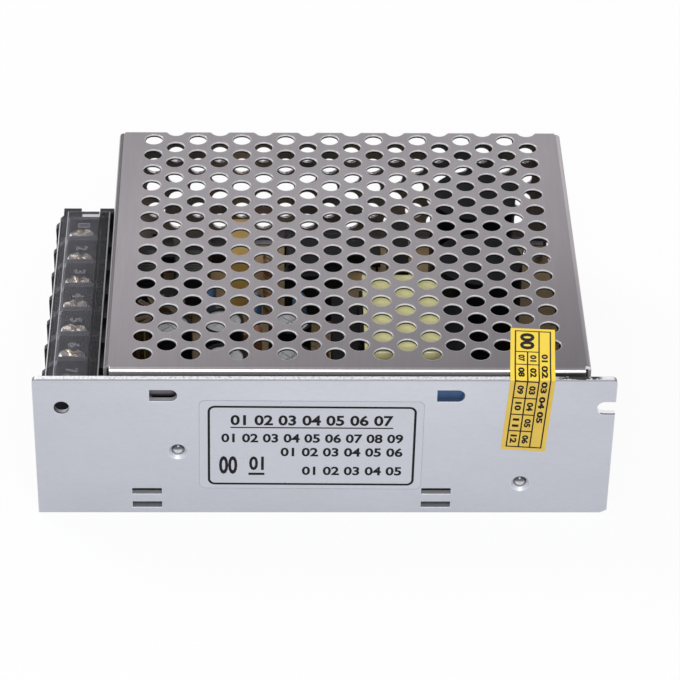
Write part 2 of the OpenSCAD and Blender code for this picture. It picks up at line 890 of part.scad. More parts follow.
module terminal_lid()
{
    lid_front = block_front + end_wall_t + lid_end_clear;
    lid_l = block_rear - block_front - 2 * end_wall_t - 2 * lid_end_clear;
    pin_l = lid_end_clear + end_wall_t - 0.2;
    cap_t = 0.7;
    cap_h = 2.1;
    cap_x = 4.4;
    color([0.8, 0.83, 0.86, 0.4]) {
        along_y(lid_front, lid_l)
            lid_section();
        for (y = [lid_front, lid_front + lid_l - cap_t])
            translate([cap_x, y, lid_z - cap_h])
                cube([hinge_x - cap_x, cap_t, cap_h - lid_edge_r]);
        bar_y(hinge_x, lid_front - pin_l, hinge_z, hinge_pin_d, pin_l + cut);
        bar_y(hinge_x, lid_front + lid_l - cut, hinge_z, hinge_pin_d, pin_l + cut);
    }
}

// Trimmer and lamp beside the terminals

module trimmer_body()
{
    color([0.15, 0.35, 0.62])
        translate([TRIMMER_XY[0], TRIMMER_XY[1], board_top])
            difference() {
                translate([-trimmer_side / 2, -trimmer_side / 2, 0])
                    cube([trimmer_side, trimmer_side, trimmer_h]);
                translate([0, 0, trimmer_h - 1.6])
                    cylinder(r = rotor_d / 2 + small_gap, h = 3);
            }
}

module trimmer_rotor()
{
    color([0.92, 0.9, 0.84])
        translate([TRIMMER_XY[0], TRIMMER_XY[1], board_top + trimmer_h - 1.5])
            difference() {
                cylinder(d = rotor_d, h = 2);
                translate([-rotor_d, -0.35, 1])
                    cube([2 * rotor_d, 0.7, 2]);
            }
}

module indicator_lamp()
{
    color([0.35, 0.7, 0.3])
        translate([LAMP_XY[0], LAMP_XY[1], board_top])
            rotate_extrude() {
                square([lamp_d / 2 + 0.4, 0.9]);
                square([lamp_d / 2, 3.2]);
                intersection() {
                    translate([0, 3.2])
                        circle(d = lamp_d);
                    square([lamp_d, 3.2 + lamp_d]);
                }
            }
}

// Line input

module fuse()
{
    color([0.85, 0.87, 0.86])
        translate([fuse_x - fuse_l / 2, fuse_y, board_top + fuse_d / 2 + 1.2])
            rotate([0, 90, 0]) {
                cylinder(d = fuse_d - 0.5, h = fuse_l);
                for (x = [0, fuse_l - 5.4])
                    translate([0, 0, x])
                        cylinder(d = fuse_d, h = 5.4);
            }
}

module fuse_clips()
{
    clip_l = 5;
    inner = fuse_d / 2 + small_gap;
    axis_h = fuse_d / 2 + 1.2;
    color([0.8, 0.8, 0.78])
        for (x = [fuse_x - fuse_l / 2 + 0.2, fuse_x + fuse_l / 2 - 0.2 - clip_l])
            along_x(x, clip_l)
                translate([fuse_y, board_top])
                    difference() {
                        union() {
                            translate([0, axis_h])
                                circle(r = inner + clip_t);
                            translate([-1.6, 0])
                                square([3.2, axis_h]);
                        }
                        translate([0, axis_h])
                            circle(r = inner);
                        translate([-fuse_d * 0.35, axis_h])
                            square([fuse_d * 0.7, fuse_d]);
                    }
}

module line_choke_core()
{
    w = choke_pitch + choke_leg;
    l = choke_l + 2 * choke_leg;
    color([0.13, 0.13, 0.14])
        translate([choke_x - w / 2, choke_y - l / 2, choke_z])
            linear_extrude(choke_leg)
                difference() {
                    square([w, l]);
                    translate([choke_leg, choke_leg])
                        square([w - 2 * choke_leg, choke_l]);
                }
}

module line_choke_windings()
{
    hole = choke_leg + 2 * choke_clear;
    l = choke_l - 2 * choke_clear;
    color([0.12, 0.1, 0.1])
        for (side = [-1, 1])
            translate([choke_x + side * choke_pitch / 2, choke_y - l / 2, choke_z + choke_leg / 2])
                rotate([-90, 0, 0])
                    linear_extrude(l)
                        difference() {
                            translate([-choke_wound / 2, -choke_wound / 2])
                                round_rect(choke_wound, choke_wound, 2.4);
                            square([hole, hole], center = true);
                        }
}

module line_filter_capacitor()
{
    color([0.83, 0.62, 0.2])
        translate([filter_x - filter_w / 2, filter_y - filter_l / 2, board_top])
            rotate([90, 0, 0])
                mirror([0, 0, 1])
                    linear_extrude(filter_l)
                        round_rect(filter_w, filter_h, 0.7);
}

module safety_capacitors()
{
    lift = 3.4;
    lead_pitch = 5;
    lead_d = 0.7;
    color([0.16, 0.36, 0.66])
        for (p = DISCS)
            translate([p[0] - disc_t / 2, p[1], board_top + lift + disc_d / 2])
                rotate([90, 0, 90]) {
                    rotate_extrude() {
                        square([disc_d / 2 - disc_t / 2, disc_t]);
                        translate([disc_d / 2 - disc_t / 2, disc_t / 2])
                            circle(d = disc_t);
                    }
                    for (x = [-lead_pitch / 2, lead_pitch / 2])
                        translate([x, 0, disc_t / 2])
                            rotate([90, 0, 0])
                                cylinder(d = lead_d, h = lift + disc_d / 2);
                }
}

// Bridge rectifier standing across the board's depth
module bridge_rectifier()
{
    h = 15;
    chamfer = 2.6;
    pin = [1, 0.8, 3.6];
    inset = 2.2;
    color([0.1, 0.1, 0.11])
        translate([bridge_x + bridge_t / 2, bridge_y - bridge_w / 2, board_top])
            rotate(90) {
                translate([0, bridge_t, pin[2]])
                    rotate([90, 0, 0])
                        linear_extrude(bridge_t)
                            difference() {
                                polygon([[0, 0], [bridge_w, 0], [bridge_w, h], [chamfer, h], [0, h - chamfer]]);
                                translate([bridge_w / 2, h - 4])
                                    circle(d = 3.4);
                            }
                for (i = [0 : 3])
                    translate([inset + i * (bridge_w - 2 * inset - pin[0]) / 3, (bridge_t - pin[1]) / 2, 0])
                        cube([pin[0], pin[1], pin[2] + small_gap]);
            }
}

// Electrolytic capacitors: an aluminium can in a shrunk sleeve

module can(d, h)
{
    r = d / 2 - sleeve_t - small_gap;
    groove_z = h * 0.12;
    difference() {
        union() {
            translate([0, 0, 0.4])
                cylinder(r = r, h = h - 0.4 - sleeve_t);
            cylinder(r = r * 0.8, h = 0.5);
        }
        translate([0, 0, groove_z])
            rotate_extrude()
                translate([r + 0.3, 0])
                    circle(d = 1.4);
        // Scored vent in the top
        for (a = [0, 90])
            rotate(a + 45)
                translate([-r * 0.6, -0.15, h - sleeve_t - 0.25])
                    cube([r * 1.2, 0.3, 1]);
    }
}

// Sleeve open at the foot, lapping over the top by the given width
module sleeve(d, h, lap)
{
    rotate_extrude() {
        translate([d / 2 - sleeve_t, 0.5])
            square([sleeve_t, h - 0.5]);
        translate([d / 2 - lap, h - sleeve_t + small_gap])
            square([lap, sleeve_t - small_gap]);
    }
}

module bulk_capacitor(i)
{
    color([0.75, 0.75, 0.77])
        translate([bulk_x, BULK_Y[i - 1], board_top])
            can(bulk_d, bulk_h);
}

module bulk_sleeve(i)
{
    color([0.08, 0.08, 0.1])
        translate([bulk_x, BULK_Y[i - 1], board_top])
            sleeve(bulk_d, bulk_h, bulk_d / 2);
}

module output_capacitors()
{
    color([0.8, 0.8, 0.82])
        for (p = OUTPUT_XY)
            translate([p[0], p[1], board_top])
                can(output_d, output_h);
}

module output_sleeves()
{
    color([0.08, 0.08, 0.1])
        for (p = OUTPUT_XY)
            translate([p[0], p[1], board_top])
                sleeve(output_d, output_h, output_d * 0.07);
}

// Transformer: two core halves round a bobbin and winding, held by tape

module transformer_core()
{
    color([0.14, 0.14, 0.15])
        translate([transformer_x, transformer_y, core_z])
            for (side = [0, 180])
                rotate(side)
                    translate([small_gap, -core_d / 2, 0])
                        linear_extrude(core_h)
                            difference() {
                                square([core_half_l - small_gap, core_d]);
                                for (y = [leg_d, core_d - leg_d - window_d])
                                    translate([-cut, y])
                                        square([winding_l / 2 + cut, window_d]);
                            }
}

module transformer_bobbin()
{
    inner = [middle_leg_d + 2 * bobbin_clear, core_h + 2 * bobbin_clear];
    flange = [core_d - 2 * leg_d - 2 * bobbin_side_gap, core_h + winding_bulge - 2 * bobbin_flange_gap];
    tube_l = winding_l - 2 * bobbin_clear;
    rail_w = core_d - 2 * rail_inset;
    color([0.12, 0.12, 0.13]) {
        translate([transformer_x - tube_l / 2, transformer_y, core_z + core_h / 2])
            rotate([90, 0, 90])
                difference() {
                    union() {
                        linear_extrude(tube_l)
                            square([inner[0] + 2 * bobbin_wall, inner[1] + 2 * bobbin_wall], center = true);
                        for (x = [0, tube_l - bobbin_wall])
                            translate([0, 0, x])
                                linear_extrude(bobbin_wall)
                                    square(flange, center = true);
                    }
                    translate([0, 0, -cut])
                        linear_extrude(tube_l + 2 * cut)
                            square(inner, center = true);
                }
        // Pin rails on the board, one under each back of the core
        for (side = [0, 180])
            translate([transformer_x, transformer_y, board_top])
                rotate(side)
                    translate([tube_l / 2 - bobbin_wall, -rail_w / 2, 0])
                        cube([core_back_t, rail_w, core_z - board_top - small_gap]);
    }
}

module transformer_winding()
{
    gap = 0.2;
    tube = 2 * (bobbin_clear + bobbin_wall) + gap;
    inner = [middle_leg_d + tube, core_h + tube];
    outer = [core_d - 2 * leg_d - 1, core_h + winding_bulge];
    l = winding_l - tube - gap;
    color([0.7, 0.4, 0.16])
        translate([transformer_x - l / 2, transformer_y, core_z + core_h / 2])
            rotate([90, 0, 90])
                linear_extrude(l)
                    difference() {
                        translate([-outer[0] / 2, -outer[1] / 2])
                            round_rect(outer[0], outer[1], 3);
                        square(inner, center = true);
                    }
}

module transformer_tape()
{
    gap = 0.2;
    inner = [core_d + 2 * gap, core_h + winding_bulge + 2 * gap];
    outer = [inner[0] + 2 * tape_t, inner[1] + 2 * tape_t];
    l = winding_l - 2 * (bobbin_clear + bobbin_wall) - gap;
    color([0.9, 0.84, 0.48])
        translate([transformer_x - l / 2, transformer_y, core_z + core_h / 2])
            rotate([90, 0, 90])
                linear_extrude(l)
                    difference() {
                        translate([-outer[0] / 2, -outer[1] / 2])
                            round_rect(outer[0], outer[1], 2.4);
                        translate([-inner[0] / 2, -inner[1] / 2])
                            round_rect(inner[0], inner[1], 2);
                    }
}

// Output inductor: a ring core lying on the board with a wound coil

module inductor_core()
{
    color([0.85, 0.8, 0.5])
        translate([inductor_x, inductor_y, board_top + wire_d + wire_clear])
            difference() {
                cylinder(r = ring_outer_r, h = inductor_h);
                translate([0, 0, -cut])
                    cylinder(r = ring_inner_r, h = inductor_h + 2 * cut);
            }
}

module inductor_winding()
{
    turns = 16;
    inner = ring_inner_r - wire_clear;
    w = ring_outer_r - ring_inner_r + 2 * wire_clear;
    h = inductor_h + 2 * wire_clear;
    color([0.3, 0.17, 0.09])
        translate([inductor_x, inductor_y, board_top])
            for (i = [0 : turns - 1])
                rotate(i * 360 / turns)
                    rotate([90, 0, 0])
                        translate([inner, wire_d, -wire_d / 2])
                            linear_extrude(wire_d)
                                difference() {
                                    translate([-wire_d, -wire_d])
                                        square([w + 2 * wire_d, h + 2 * wire_d]);
                                    square([w, h]);
                                }
}

// Power semiconductors clamped to the front wall

module power_device(x)
{
    tab_t = 1.3;
    translate([x - device_w / 2, device_y, device_z]) {
        difference() {
            cube([device_w, tab_t, device_h]);
            translate([device_w / 2, -cut, device_h - 2.8])
                rotate([-90, 0, 0])
                    cylinder(d = 3.6, h = tab_t + 2 * cut);
        }
        cube([device_w, device_t, device_h - 6.2]);
        for (i = [-1, 0, 1])
            translate([device_w / 2 + i * 2.54 - 0.4, 2.4, board_top - device_z])
                cube([0.8, 0.5, device_z - board_top + cut]);
    }
}

module rectifier_diodes()
{
    color([0.12, 0.12, 0.13])
        for (side = [-1, 1])
            power_device(rectifier_x + side * rectifier_pitch / 2);
}

module switch_transistors()
{
    color([0.12, 0.12, 0.13])
        for (side = [-1, 1])
            power_device(switch_x + side * switch_pitch / 2);
}

module rectifier_clamp()
{
    w = rectifier_pitch + device_w;
    h = 6.8;
    color([0.7, 0.7, 0.72])
        along_y(clamp_y, clamp_t)
            difference() {
                translate([rectifier_x - w / 2, rectifier_screw_z - h / 2])
                    round_rect(w, h, 1);
                translate([rectifier_x, rectifier_screw_z])
                    circle(d = screw_d + 2 * screw_clear);
            }
}

module rectifier_pad()
{
    w = rectifier_pitch + device_w + 2 * pad_margin;
    color([0.55, 0.56, 0.58])
        along_y(sheet_t, pad_t)
            difference() {
                translate([rectifier_x - w / 2, board_top + pad_lift])
                    square([w, device_h + 2 * pad_margin]);
                translate([rectifier_x, rectifier_screw_z])
                    circle(d = screw_d + 4 * screw_clear);
            }
}

// Plate that presses both transistors and steps back to a foot on the wall
module transistor_clamp()
{
    left = switch_x - switch_pitch / 2 - device_w / 2;
    foot_top = switch_clamp_z + switch_clamp_h;
    color([0.7, 0.7, 0.72])
        difference() {
            union() {
                translate([left, clamp_y, switch_clamp_z])
                    cube([switch_jog_x - left + clamp_t, clamp_t, switch_clamp_h]);
                translate([switch_jog_x, sheet_t, switch_clamp_z])
                    cube([clamp_t, clamp_y - sheet_t + clamp_t, switch_clamp_h]);
                translate([switch_jog_x, sheet_t, switch_foot_z])
                    cube([switch_foot_right - switch_jog_x, clamp_t, foot_top - switch_foot_z]);
            }
            bar_y(switch_screw_x, 0, switch_screw_z, screw_d + 2 * screw_clear, sheet_t + clamp_t + cut);
        }
}

module transistor_pad()
{
    left = switch_x - switch_pitch / 2 - device_w / 2 - pad_margin;
    right = switch_x + switch_pitch / 2 + device_w / 2 + 0.3;
    color([0.2, 0.35, 0.55])
        along_y(sheet_t, pad_t)
            translate([left, board_top + pad_lift])
                square([right - left, switch_pad_top - board_top - pad_lift]);
}

// Control parts

module control_chip()
{
    body = [19.6, 6.4, 3.4];
    stand = 0.8;
    mark_d = 2;
    mark_depth = 0.6;
    pin_count = 8;
    pin_pitch = 2.54;
    pin = [0.6, 0.8, 2.4];
    row_l = (pin_count - 1) * pin_pitch + pin[0];
    color([0.1, 0.1, 0.11])
        translate([chip_x, chip_y, board_top]) {
            translate([-body[0] / 2, -body[1] / 2, stand])
                difference() {
                    cube(body);
                    translate([0, body[1] / 2, body[2] - mark_depth])
                        cylinder(d = mark_d, h = mark_depth + cut);
                }
            for (i = [0 : pin_count - 1], side = [-1, 1])
                translate([i * pin_pitch - row_l / 2, side * (chip_d - pin[1]) / 2 - pin[1] / 2, 0])
                    cube(pin);
        }
}

// Small transformer that drives the transistors, wrapped in black tape
module driver_transformer()
{
    back_t = 3.4;
    base_h = 2.4;
    coil = [driver_l - 1, driver_h - base_h];
    coil_l = driver_d - 2 * back_t;
    color([0.1, 0.1, 0.11])
        translate([driver_x, driver_y, board_top]) {
            translate([-driver_l / 2 + 0.5, -driver_d / 2, 0])
                cube([driver_l - 1, driver_d, base_h]);
            translate([-coil[0] / 2, coil_l / 2 + 0.1, base_h - 0.2])
                rotate([90, 0, 0])
                    linear_extrude(coil_l + 0.2)
                        round_rect(coil[0], coil[1] + 0.2, 2);
            for (y = [-driver_d / 2, driver_d / 2 - back_t])
                translate([-driver_l / 2, y, base_h - 0.1])
                    cube([driver_l, back_t, driver_h - base_h - 1.4]);
        }
}

module resistors()
{
    body_l = 9;
    lift = 0.6;
    axis_h = lift + resistor_d / 2;
    color([0.62, 0.5, 0.36])
        for (p = RESISTORS)
            translate([p[0], p[1], board_top + axis_h])
                rotate([0, 0, p[2]])
                    rotate([0, 90, 0]) {
                        translate([0, 0, -body_l / 2])
                            cylinder(d = resistor_d - 0.5, h = body_l);
                        for (x = [-body_l / 2, body_l / 2 - 2.2])
                            translate([0, 0, x])
                                cylinder(d = resistor_d, h = 2.2);
                        translate([0, 0, -body_l / 2 - 1.8])
                            cylinder(d = 0.7, h = body_l + 3.6);
                        for (x = [-body_l / 2 - 1.8, body_l / 2 + 1.8])
                            translate([0, 0, x])
                                rotate([0, 90, 0])
                                    cylinder(d = 0.7, h = axis_h);
                    }
}

// Film capacitor dipped in coloured resin, standing on two leads
module dipped_capacitor(p, w, h, t)
{
    translate([p[0], p[1] + t / 2, board_top + 1.6])
        rotate([90, 0, 0])
            linear_extrude(t)
                translate([-w / 2, 0])
                    round_rect(w, h, 1.6);
    for (x = [-w * 0.3, w * 0.3])
        translate([p[0] + x, p[1], board_top])
            cylinder(d = 0.7, h = 2);
}

module green_capacitor()
{
    color([0.1, 0.3, 0.3])
        dipped_capacitor(GREEN_XY, green_w, green_h, green_t);
}

module brown_capacitor()
{
    color([0.5, 0.24, 0.14])
        dipped_capacitor(BROWN_XY, brown_w, brown_h, brown_t);
}

centred() chassis();
centred() cover();
centred() cover_screws();
centred() insulating_film();
centred() circuit_board();
centred() board_standoffs();
centred() board_screws();
centred() clamp_screws();
centred() terminal_block();
centred() terminal_contacts();
centred() terminal_lid();
centred() clamp_washer(1);  // clamp_washer_1
centred() clamp_washer(2);  // clamp_washer_2
centred() clamp_washer(3);  // clamp_washer_3
centred() clamp_washer(4);  // clamp_washer_4
centred() clamp_washer(5);  // clamp_washer_5
centred() clamp_washer(6);  // clamp_washer_6
centred() clamp_washer(7);  // clamp_washer_7
centred() terminal_screw(1);  // terminal_screw_1
centred() terminal_screw(2);  // terminal_screw_2
centred() terminal_screw(3);  // terminal_screw_3
centred() terminal_screw(4);  // terminal_screw_4
centred() terminal_screw(5);  // terminal_screw_5
centred() terminal_screw(6);  // terminal_screw_6
centred() terminal_screw(7);  // terminal_screw_7
centred() trimmer_body();
centred() trimmer_rotor();
centred() indicator_lamp();
centred() fuse();
centred() fuse_clips();
centred() line_choke_core();
centred() line_choke_windings();
centred() line_filter_capacitor();
centred() safety_capacitors();
centred() bridge_rectifier();
centred() bulk_capacitor(1);  // bulk_capacitor_1
centred() bulk_capacitor(2);  // bulk_capacitor_2
centred() bulk_sleeve(1);  // bulk_sleeve_1
centred() bulk_sleeve(2);  // bulk_sleeve_2
centred() output_capacitors();
centred() output_sleeves();
centred() transformer_core();
centred() transformer_bobbin();
centred() transformer_winding();
centred() transformer_tape();
centred() inductor_core();
centred() inductor_winding();
centred() rectifier_diodes();
centred() rectifier_clamp();
centred() rectifier_pad();
centred() switch_transistors();
centred() transistor_clamp();
centred() transistor_pad();
centred() control_chip();
centred() driver_transformer();
centred() resistors();
centred() green_capacitor();
centred() brown_capacitor();
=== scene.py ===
"""LED power supply: looks, stage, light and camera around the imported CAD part."""

import math
from functools import reduce
from itertools import accumulate

import bmesh
import bpy
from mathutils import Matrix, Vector


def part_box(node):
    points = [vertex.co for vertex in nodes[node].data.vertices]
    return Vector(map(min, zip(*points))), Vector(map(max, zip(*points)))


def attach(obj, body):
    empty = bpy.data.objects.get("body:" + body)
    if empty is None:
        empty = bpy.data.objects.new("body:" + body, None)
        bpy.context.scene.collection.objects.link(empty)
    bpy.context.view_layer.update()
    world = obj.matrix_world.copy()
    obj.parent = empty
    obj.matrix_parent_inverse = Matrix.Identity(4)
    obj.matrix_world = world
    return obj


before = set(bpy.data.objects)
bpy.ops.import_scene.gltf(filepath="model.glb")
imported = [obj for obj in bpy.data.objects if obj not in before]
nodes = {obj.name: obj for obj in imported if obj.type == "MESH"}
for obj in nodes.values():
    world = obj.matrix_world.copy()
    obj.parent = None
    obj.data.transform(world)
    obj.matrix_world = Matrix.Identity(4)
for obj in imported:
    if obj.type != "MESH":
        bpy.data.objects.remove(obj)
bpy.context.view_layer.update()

MM = 0.001
# The CAD frame's origin seen from the case's lower left front corner, in millimetres
CASE_X, CASE_Y = 64.5, 49.0


def case(x, y, z):
    """A point given from the case's lower left front corner, in millimetres."""
    return Vector(((x - CASE_X) * MM, (y - CASE_Y) * MM, z * MM))


def srgb(r, g, b):
    """A colour given in 0 to 255 as seen on a screen, as linear light."""
    def one(c):
        c /= 255
        return c / 12.92 if c <= 0.04045 else ((c + 0.055) / 1.055) ** 2.4
    return (one(r), one(g), one(b), 1.0)


def grey(k):
    return (k, k, k, 1.0)


def shade(colour, k):
    """A colour made darker or lighter."""
    return (*(min(1, c * k) for c in colour[:3]), 1.0)


# Materials. Places on the part are in millimetres of the CAD frame: the front wall reaches
# from Y -49 to -47.55 and up to Z 38.4, the cover's sheet from Z 38.85 to 39.6.

UP, FRONT = (0.0, 0.0, 1.0), (0.0, -1.0, 0.0)
# Where a noise gives the darker and the lighter tone of a colour
FINE_STOPS, BROAD_STOPS = (0.3, 0.7), (0.25, 0.75)
NOISE_ROUGHNESS = 0.55
BEVEL_SAMPLES = 6


class Nodes:
    """A material's node tree with short calls for the nodes used here."""

    def __init__(self, name):
        self.material = bpy.data.materials.new(name)
        self.material.use_nodes = True
        self.tree = self.material.node_tree
        self.shader = self.tree.nodes["Principled BSDF"]
        texture = self.tree.nodes.new("ShaderNodeTexCoord")
        self.coords, self.normal = texture.outputs["Object"], texture.outputs["Normal"]

    def node(self, kind, **values):
        made = self.tree.nodes.new(kind)
        for key, value in values.items():
            setattr(made, key, value)
        return made

    def put(self, value, socket):
        """Links another node's output to a socket, or sets a plain value on it."""
        if hasattr(value, "is_output"):
            self.tree.links.new(value, socket)
        else:
            socket.default_value = value

    def dressed(self, inputs):
        """The material, with its shader's inputs given by name."""
        for name, value in inputs.items():
            self.put(value, self.shader.inputs[name])
        return self.material

    def noise(self, scale, detail=3.0, stretch=(1, 1, 1)):
        mapping = self.node("ShaderNodeMapping")
        self.put(stretch, mapping.inputs["Scale"])
        self.put(self.coords, mapping.inputs["Vector"])
        made = self.node("ShaderNodeTexNoise")
        self.put(scale, made.inputs["Scale"])
        self.put(detail, made.inputs["Detail"])
        self.put(NOISE_ROUGHNESS, made.inputs["Roughness"])
        self.put(mapping.outputs["Vector"], made.inputs["Vector"])
        return made.outputs["Fac"]

    def wave(self, direction, scale):
        """Even bands across a direction."""
        made = self.node("ShaderNodeTexWave", wave_type="BANDS", bands_direction=direction,
                         wave_profile="SIN")
        self.put(scale, made.inputs["Scale"])
        self.put(self.coords, made.inputs["Vector"])
        return made.outputs["Fac"]

    def ramp(self, source, stops):
        made = self.node("ShaderNodeValToRGB")
        elements = made.color_ramp.elements
        while len(elements) < len(stops):
            elements.new(0.5)
        for element, (place, colour) in zip(elements, stops):
            element.position = place
            element.color = colour
        self.put(source, made.inputs["Fac"])
        return made.outputs["Color"]

    def mottle(self, source, colour, dark, light, stops=FINE_STOPS):
        """A colour that a noise makes darker and lighter."""
        return self.ramp(source, list(zip(stops, (shade(colour, dark), shade(colour, light)))))

    def mix(self, factor, a, b, blend="MIX"):
        made = self.node("ShaderNodeMix", data_type="RGBA", blend_type=blend)
        # A colour mix has its factor at socket 0 and its colours at 6 and 7
        for socket, value in ((0, factor), (6, a), (7, b)):
            self.put(value, made.inputs[socket])
        return made.outputs[2]

    def paint(self, tone, mask, colour, strength=None):
        """The tone with a colour laid over it by a mask."""
        if strength is not None:
            mask = self.spread(mask, 0.0, strength)
        return self.mix(mask, tone, colour)

    def remap(self, source, **ends):
        made = self.node("ShaderNodeMapRange")
        for name, end in ends.items():
            self.put(end, made.inputs[name.replace("_", " ").title()])
        self.put(source, made.inputs["Value"])
        return made.outputs["Result"]

    def spread(self, source, low, high):
        """low to high as the source goes from 0 to 1."""
        return self.remap(source, to_min=low, to_max=high)

    def reach(self, source, low, high):
        """0 to 1 as the source goes from low to high."""
        return self.remap(source, from_min=low, from_max=high)

    def axis(self, name):
        """X, Y or Z of the place on the part, in metres."""
        made = self.node("ShaderNodeSeparateXYZ")
        self.put(self.coords, made.inputs[0])
        return made.outputs[name]

    def past(self, axis, low, high):
        """0 to 1 as the place on the part goes from low to high along an axis."""
        return self.reach(self.axis(axis), low * MM, high * MM)

    def within(self, axis, rise, fall):
        """1 between two places along an axis; rise and fall say where it starts and ends."""
        return self.both(self.past(axis, *rise), self.past(axis, *fall))

    def calc(self, operation, *values):
        made = self.node("ShaderNodeMath", operation=operation)
        for value, socket in zip(values, made.inputs):
            self.put(value, socket)
        return made.outputs[0]

    def both(self, *masks):
        """The product of several masks."""
        return reduce(lambda a, b: self.calc("MULTIPLY", a, b), masks)

    def most(self, *masks):
        """The largest of several masks."""
        return reduce(lambda a, b: self.calc("MAXIMUM", a, b), masks)

    def dot(self, a, b):
        made = self.node("ShaderNodeVectorMath", operation="DOT_PRODUCT")
        self.put(a, made.inputs[0])
        self.put(b, made.inputs[1])
        return made.outputs["Value"]

    def facing(self, direction, low, high):
        """0 to 1 as the surface turns to the given direction of the part."""
        return self.reach(self.dot(self.normal, direction), low, high)

    def bevel(self, radius):
        made = self.node("ShaderNodeBevel", samples=BEVEL_SAMPLES)
        self.put(radius * MM, made.inputs["Radius"])
        return made.outputs["Normal"]

    def edge(self, bevelled):
        """1 along the edges that the bevel rounds, 0 on flat ground."""
        true_normal = self.node("ShaderNodeNewGeometry").outputs["Normal"]
        return self.reach(self.dot(true_normal, bevelled), 1.0, 0.9)

    def bump(self, height, strength, distance, normal=None):
        made = self.node("ShaderNodeBump")
        self.put(strength, made.inputs["Strength"])
        self.put(distance * MM, made.inputs["Distance"])
        self.put(height, made.inputs["Height"])
        if normal is not None:
            self.put(normal, made.inputs["Normal"])
        return made.outputs["Normal"]


def surface(name, colour, rough, metal=0.0, vary=0.15, grain=900.0, relief=0.02, round_mm=0.12,
            edge_lightening=0.0, coat=0.0, specular=0.5):
    """A general surface: mottled colour, uneven gloss, fine relief, rounded edges that can be
    painted lighter.
    """
    n = Nodes(name)
    broad = n.noise(grain * 0.06, 4.0)
    fine = n.noise(grain)
    tone = n.mottle(broad, colour, 1 - vary, 1 + vary, BROAD_STOPS)
    tone = n.mix(0.35, tone, n.mottle(fine, colour, 1 - vary, 1 + vary))
    normal = n.bevel(round_mm)
    # The rounded edges painted lighter
    if edge_lightening:
        tone = n.paint(tone, n.edge(normal), shade(colour, 1.9), edge_lightening)
    return n.dressed({
        "Base Color": tone,
        "Roughness": n.spread(fine, max(0.02, rough - 0.08), min(1, rough + 0.08)),
        "Normal": n.bump(fine, 0.5, relief, normal),
        "Metallic": metal,
        "Coat Weight": coat,
        "Specular IOR Level": specular,
    })


def chassis_material():
    """Bare satin aluminium: faint rolled grain, scuffs on the top edge, painted highlights and
    shade.
    """
    n = Nodes("satin_aluminium")
    base = srgb(192, 195, 204)
    broad = n.noise(28.0, 4.0, (1, 1, 2.5))
    fine = n.noise(2600.0, 2.0, (0.25, 1, 1))
    tone = n.mottle(broad, base, 0.94, 1.05, BROAD_STOPS)
    tone = n.mix(0.4, tone, n.mottle(fine, base, 0.93, 1.06))
    # Painted light: the wall is lighter to the top of its middle
    middle = n.within("X", (-62, -10), (62, 25))
    rise = n.both(n.past("Z", 1, 36), n.spread(middle, 0.3, 1.0))
    lighter = n.ramp(rise, [(0.0, grey(0.95)), (1.0, (1.13, 1.12, 1.11, 1))])
    tone = n.mix(1.0, tone, lighter, "MULTIPLY")
    normal = n.bevel(0.3)
    # Painted highlight along the rounded edges
    tone = n.paint(tone, n.edge(normal), srgb(246, 247, 250), 0.6)
    # Painted highlight on the cut edges of the front wall that face up; its top edge speckled
    cut = n.both(n.facing(UP, 0.25, 0.75), n.past("Y", -47.0, -47.3), n.past("Z", 3, 3.5))
    high = n.spread(n.past("Z", 33, 36), 0.4, 0.85)
    tone = n.paint(tone, n.both(cut, high), srgb(234, 235, 238))
    specks = n.ramp(n.noise(1300.0, 4.0), [(0.5, grey(0)), (0.62, grey(0.5))])
    top = n.past("Z", 37.8, 38.1)
    tone = n.paint(tone, n.both(cut, top, specks), srgb(138, 138, 144))
    # A grey line of painted shade along the top edge's front, and darker ends
    arris = n.both(n.past("Z", 38.12, 38.2), n.past("Y", -48.62, -48.74))
    tone = n.paint(tone, arris, srgb(142, 142, 146), 0.85)
    ends = n.most(n.past("X", -63.7, -64.0), n.past("X", 63.7, 64.0))
    corner = n.both(ends, n.past("Z", 37.3, 37.6), n.facing(FRONT, 0.6, 0.3))
    tone = n.paint(tone, corner, srgb(96, 96, 100), 0.8)
    # The right slot's cut has a painted reflection of the blue pad behind it, and the round hole
    # painted shade inside
    slot = n.both(cut, n.within("X", (15, 16), (45, 44)), n.within("Z", (20, 21), (35, 34)))
    tone = n.paint(tone, slot, srgb(58, 84, 124), 0.9)
    hole = n.both(n.within("X", (-61.5, -61), (-55, -55.5)),
                  n.within("Y", (-48.97, -48.9), (-47.58, -47.64)),
                  n.within("Z", (27, 28), (34, 33)))
    tone = n.paint(tone, hole, srgb(132, 132, 140))
    tone = n.paint(tone, n.both(hole, n.past("Y", -48.4, -48.6)), srgb(50, 50, 56))
    # Painted highlight on the notch's cut; its lip and the top edge beside it are scuffed
    notch = n.both(cut, n.past("X", 55.5, 56.5), n.past("Z", 34, 33))
    tone = n.paint(tone, notch, srgb(252, 252, 253))
    lip = n.both(notch, n.past("Y", -48.45, -48.7))
    jagged = n.calc("ADD", n.axis("Y"), n.spread(n.noise(900.0), -0.7 * MM, 0.7 * MM))
    scuffed = n.both(top, n.within("X", (50.5, 52.5), (61.4, 60.2)),
                     n.reach(jagged, -48.75 * MM, -48.65 * MM))
    pits = n.ramp(n.noise(620.0, 5.0), [(0.4, grey(0)), (0.46, grey(1))])
    for mask in (scuffed, lip):
        tone = n.paint(tone, n.both(mask, pits), srgb(44, 42, 45))
    return n.dressed({
        "Base Color": tone,
        "Roughness": n.spread(fine, 0.38, 0.52),
        "Normal": n.bump(fine, 0.4, 0.01, normal),
        "Metallic": 0.55,
    })


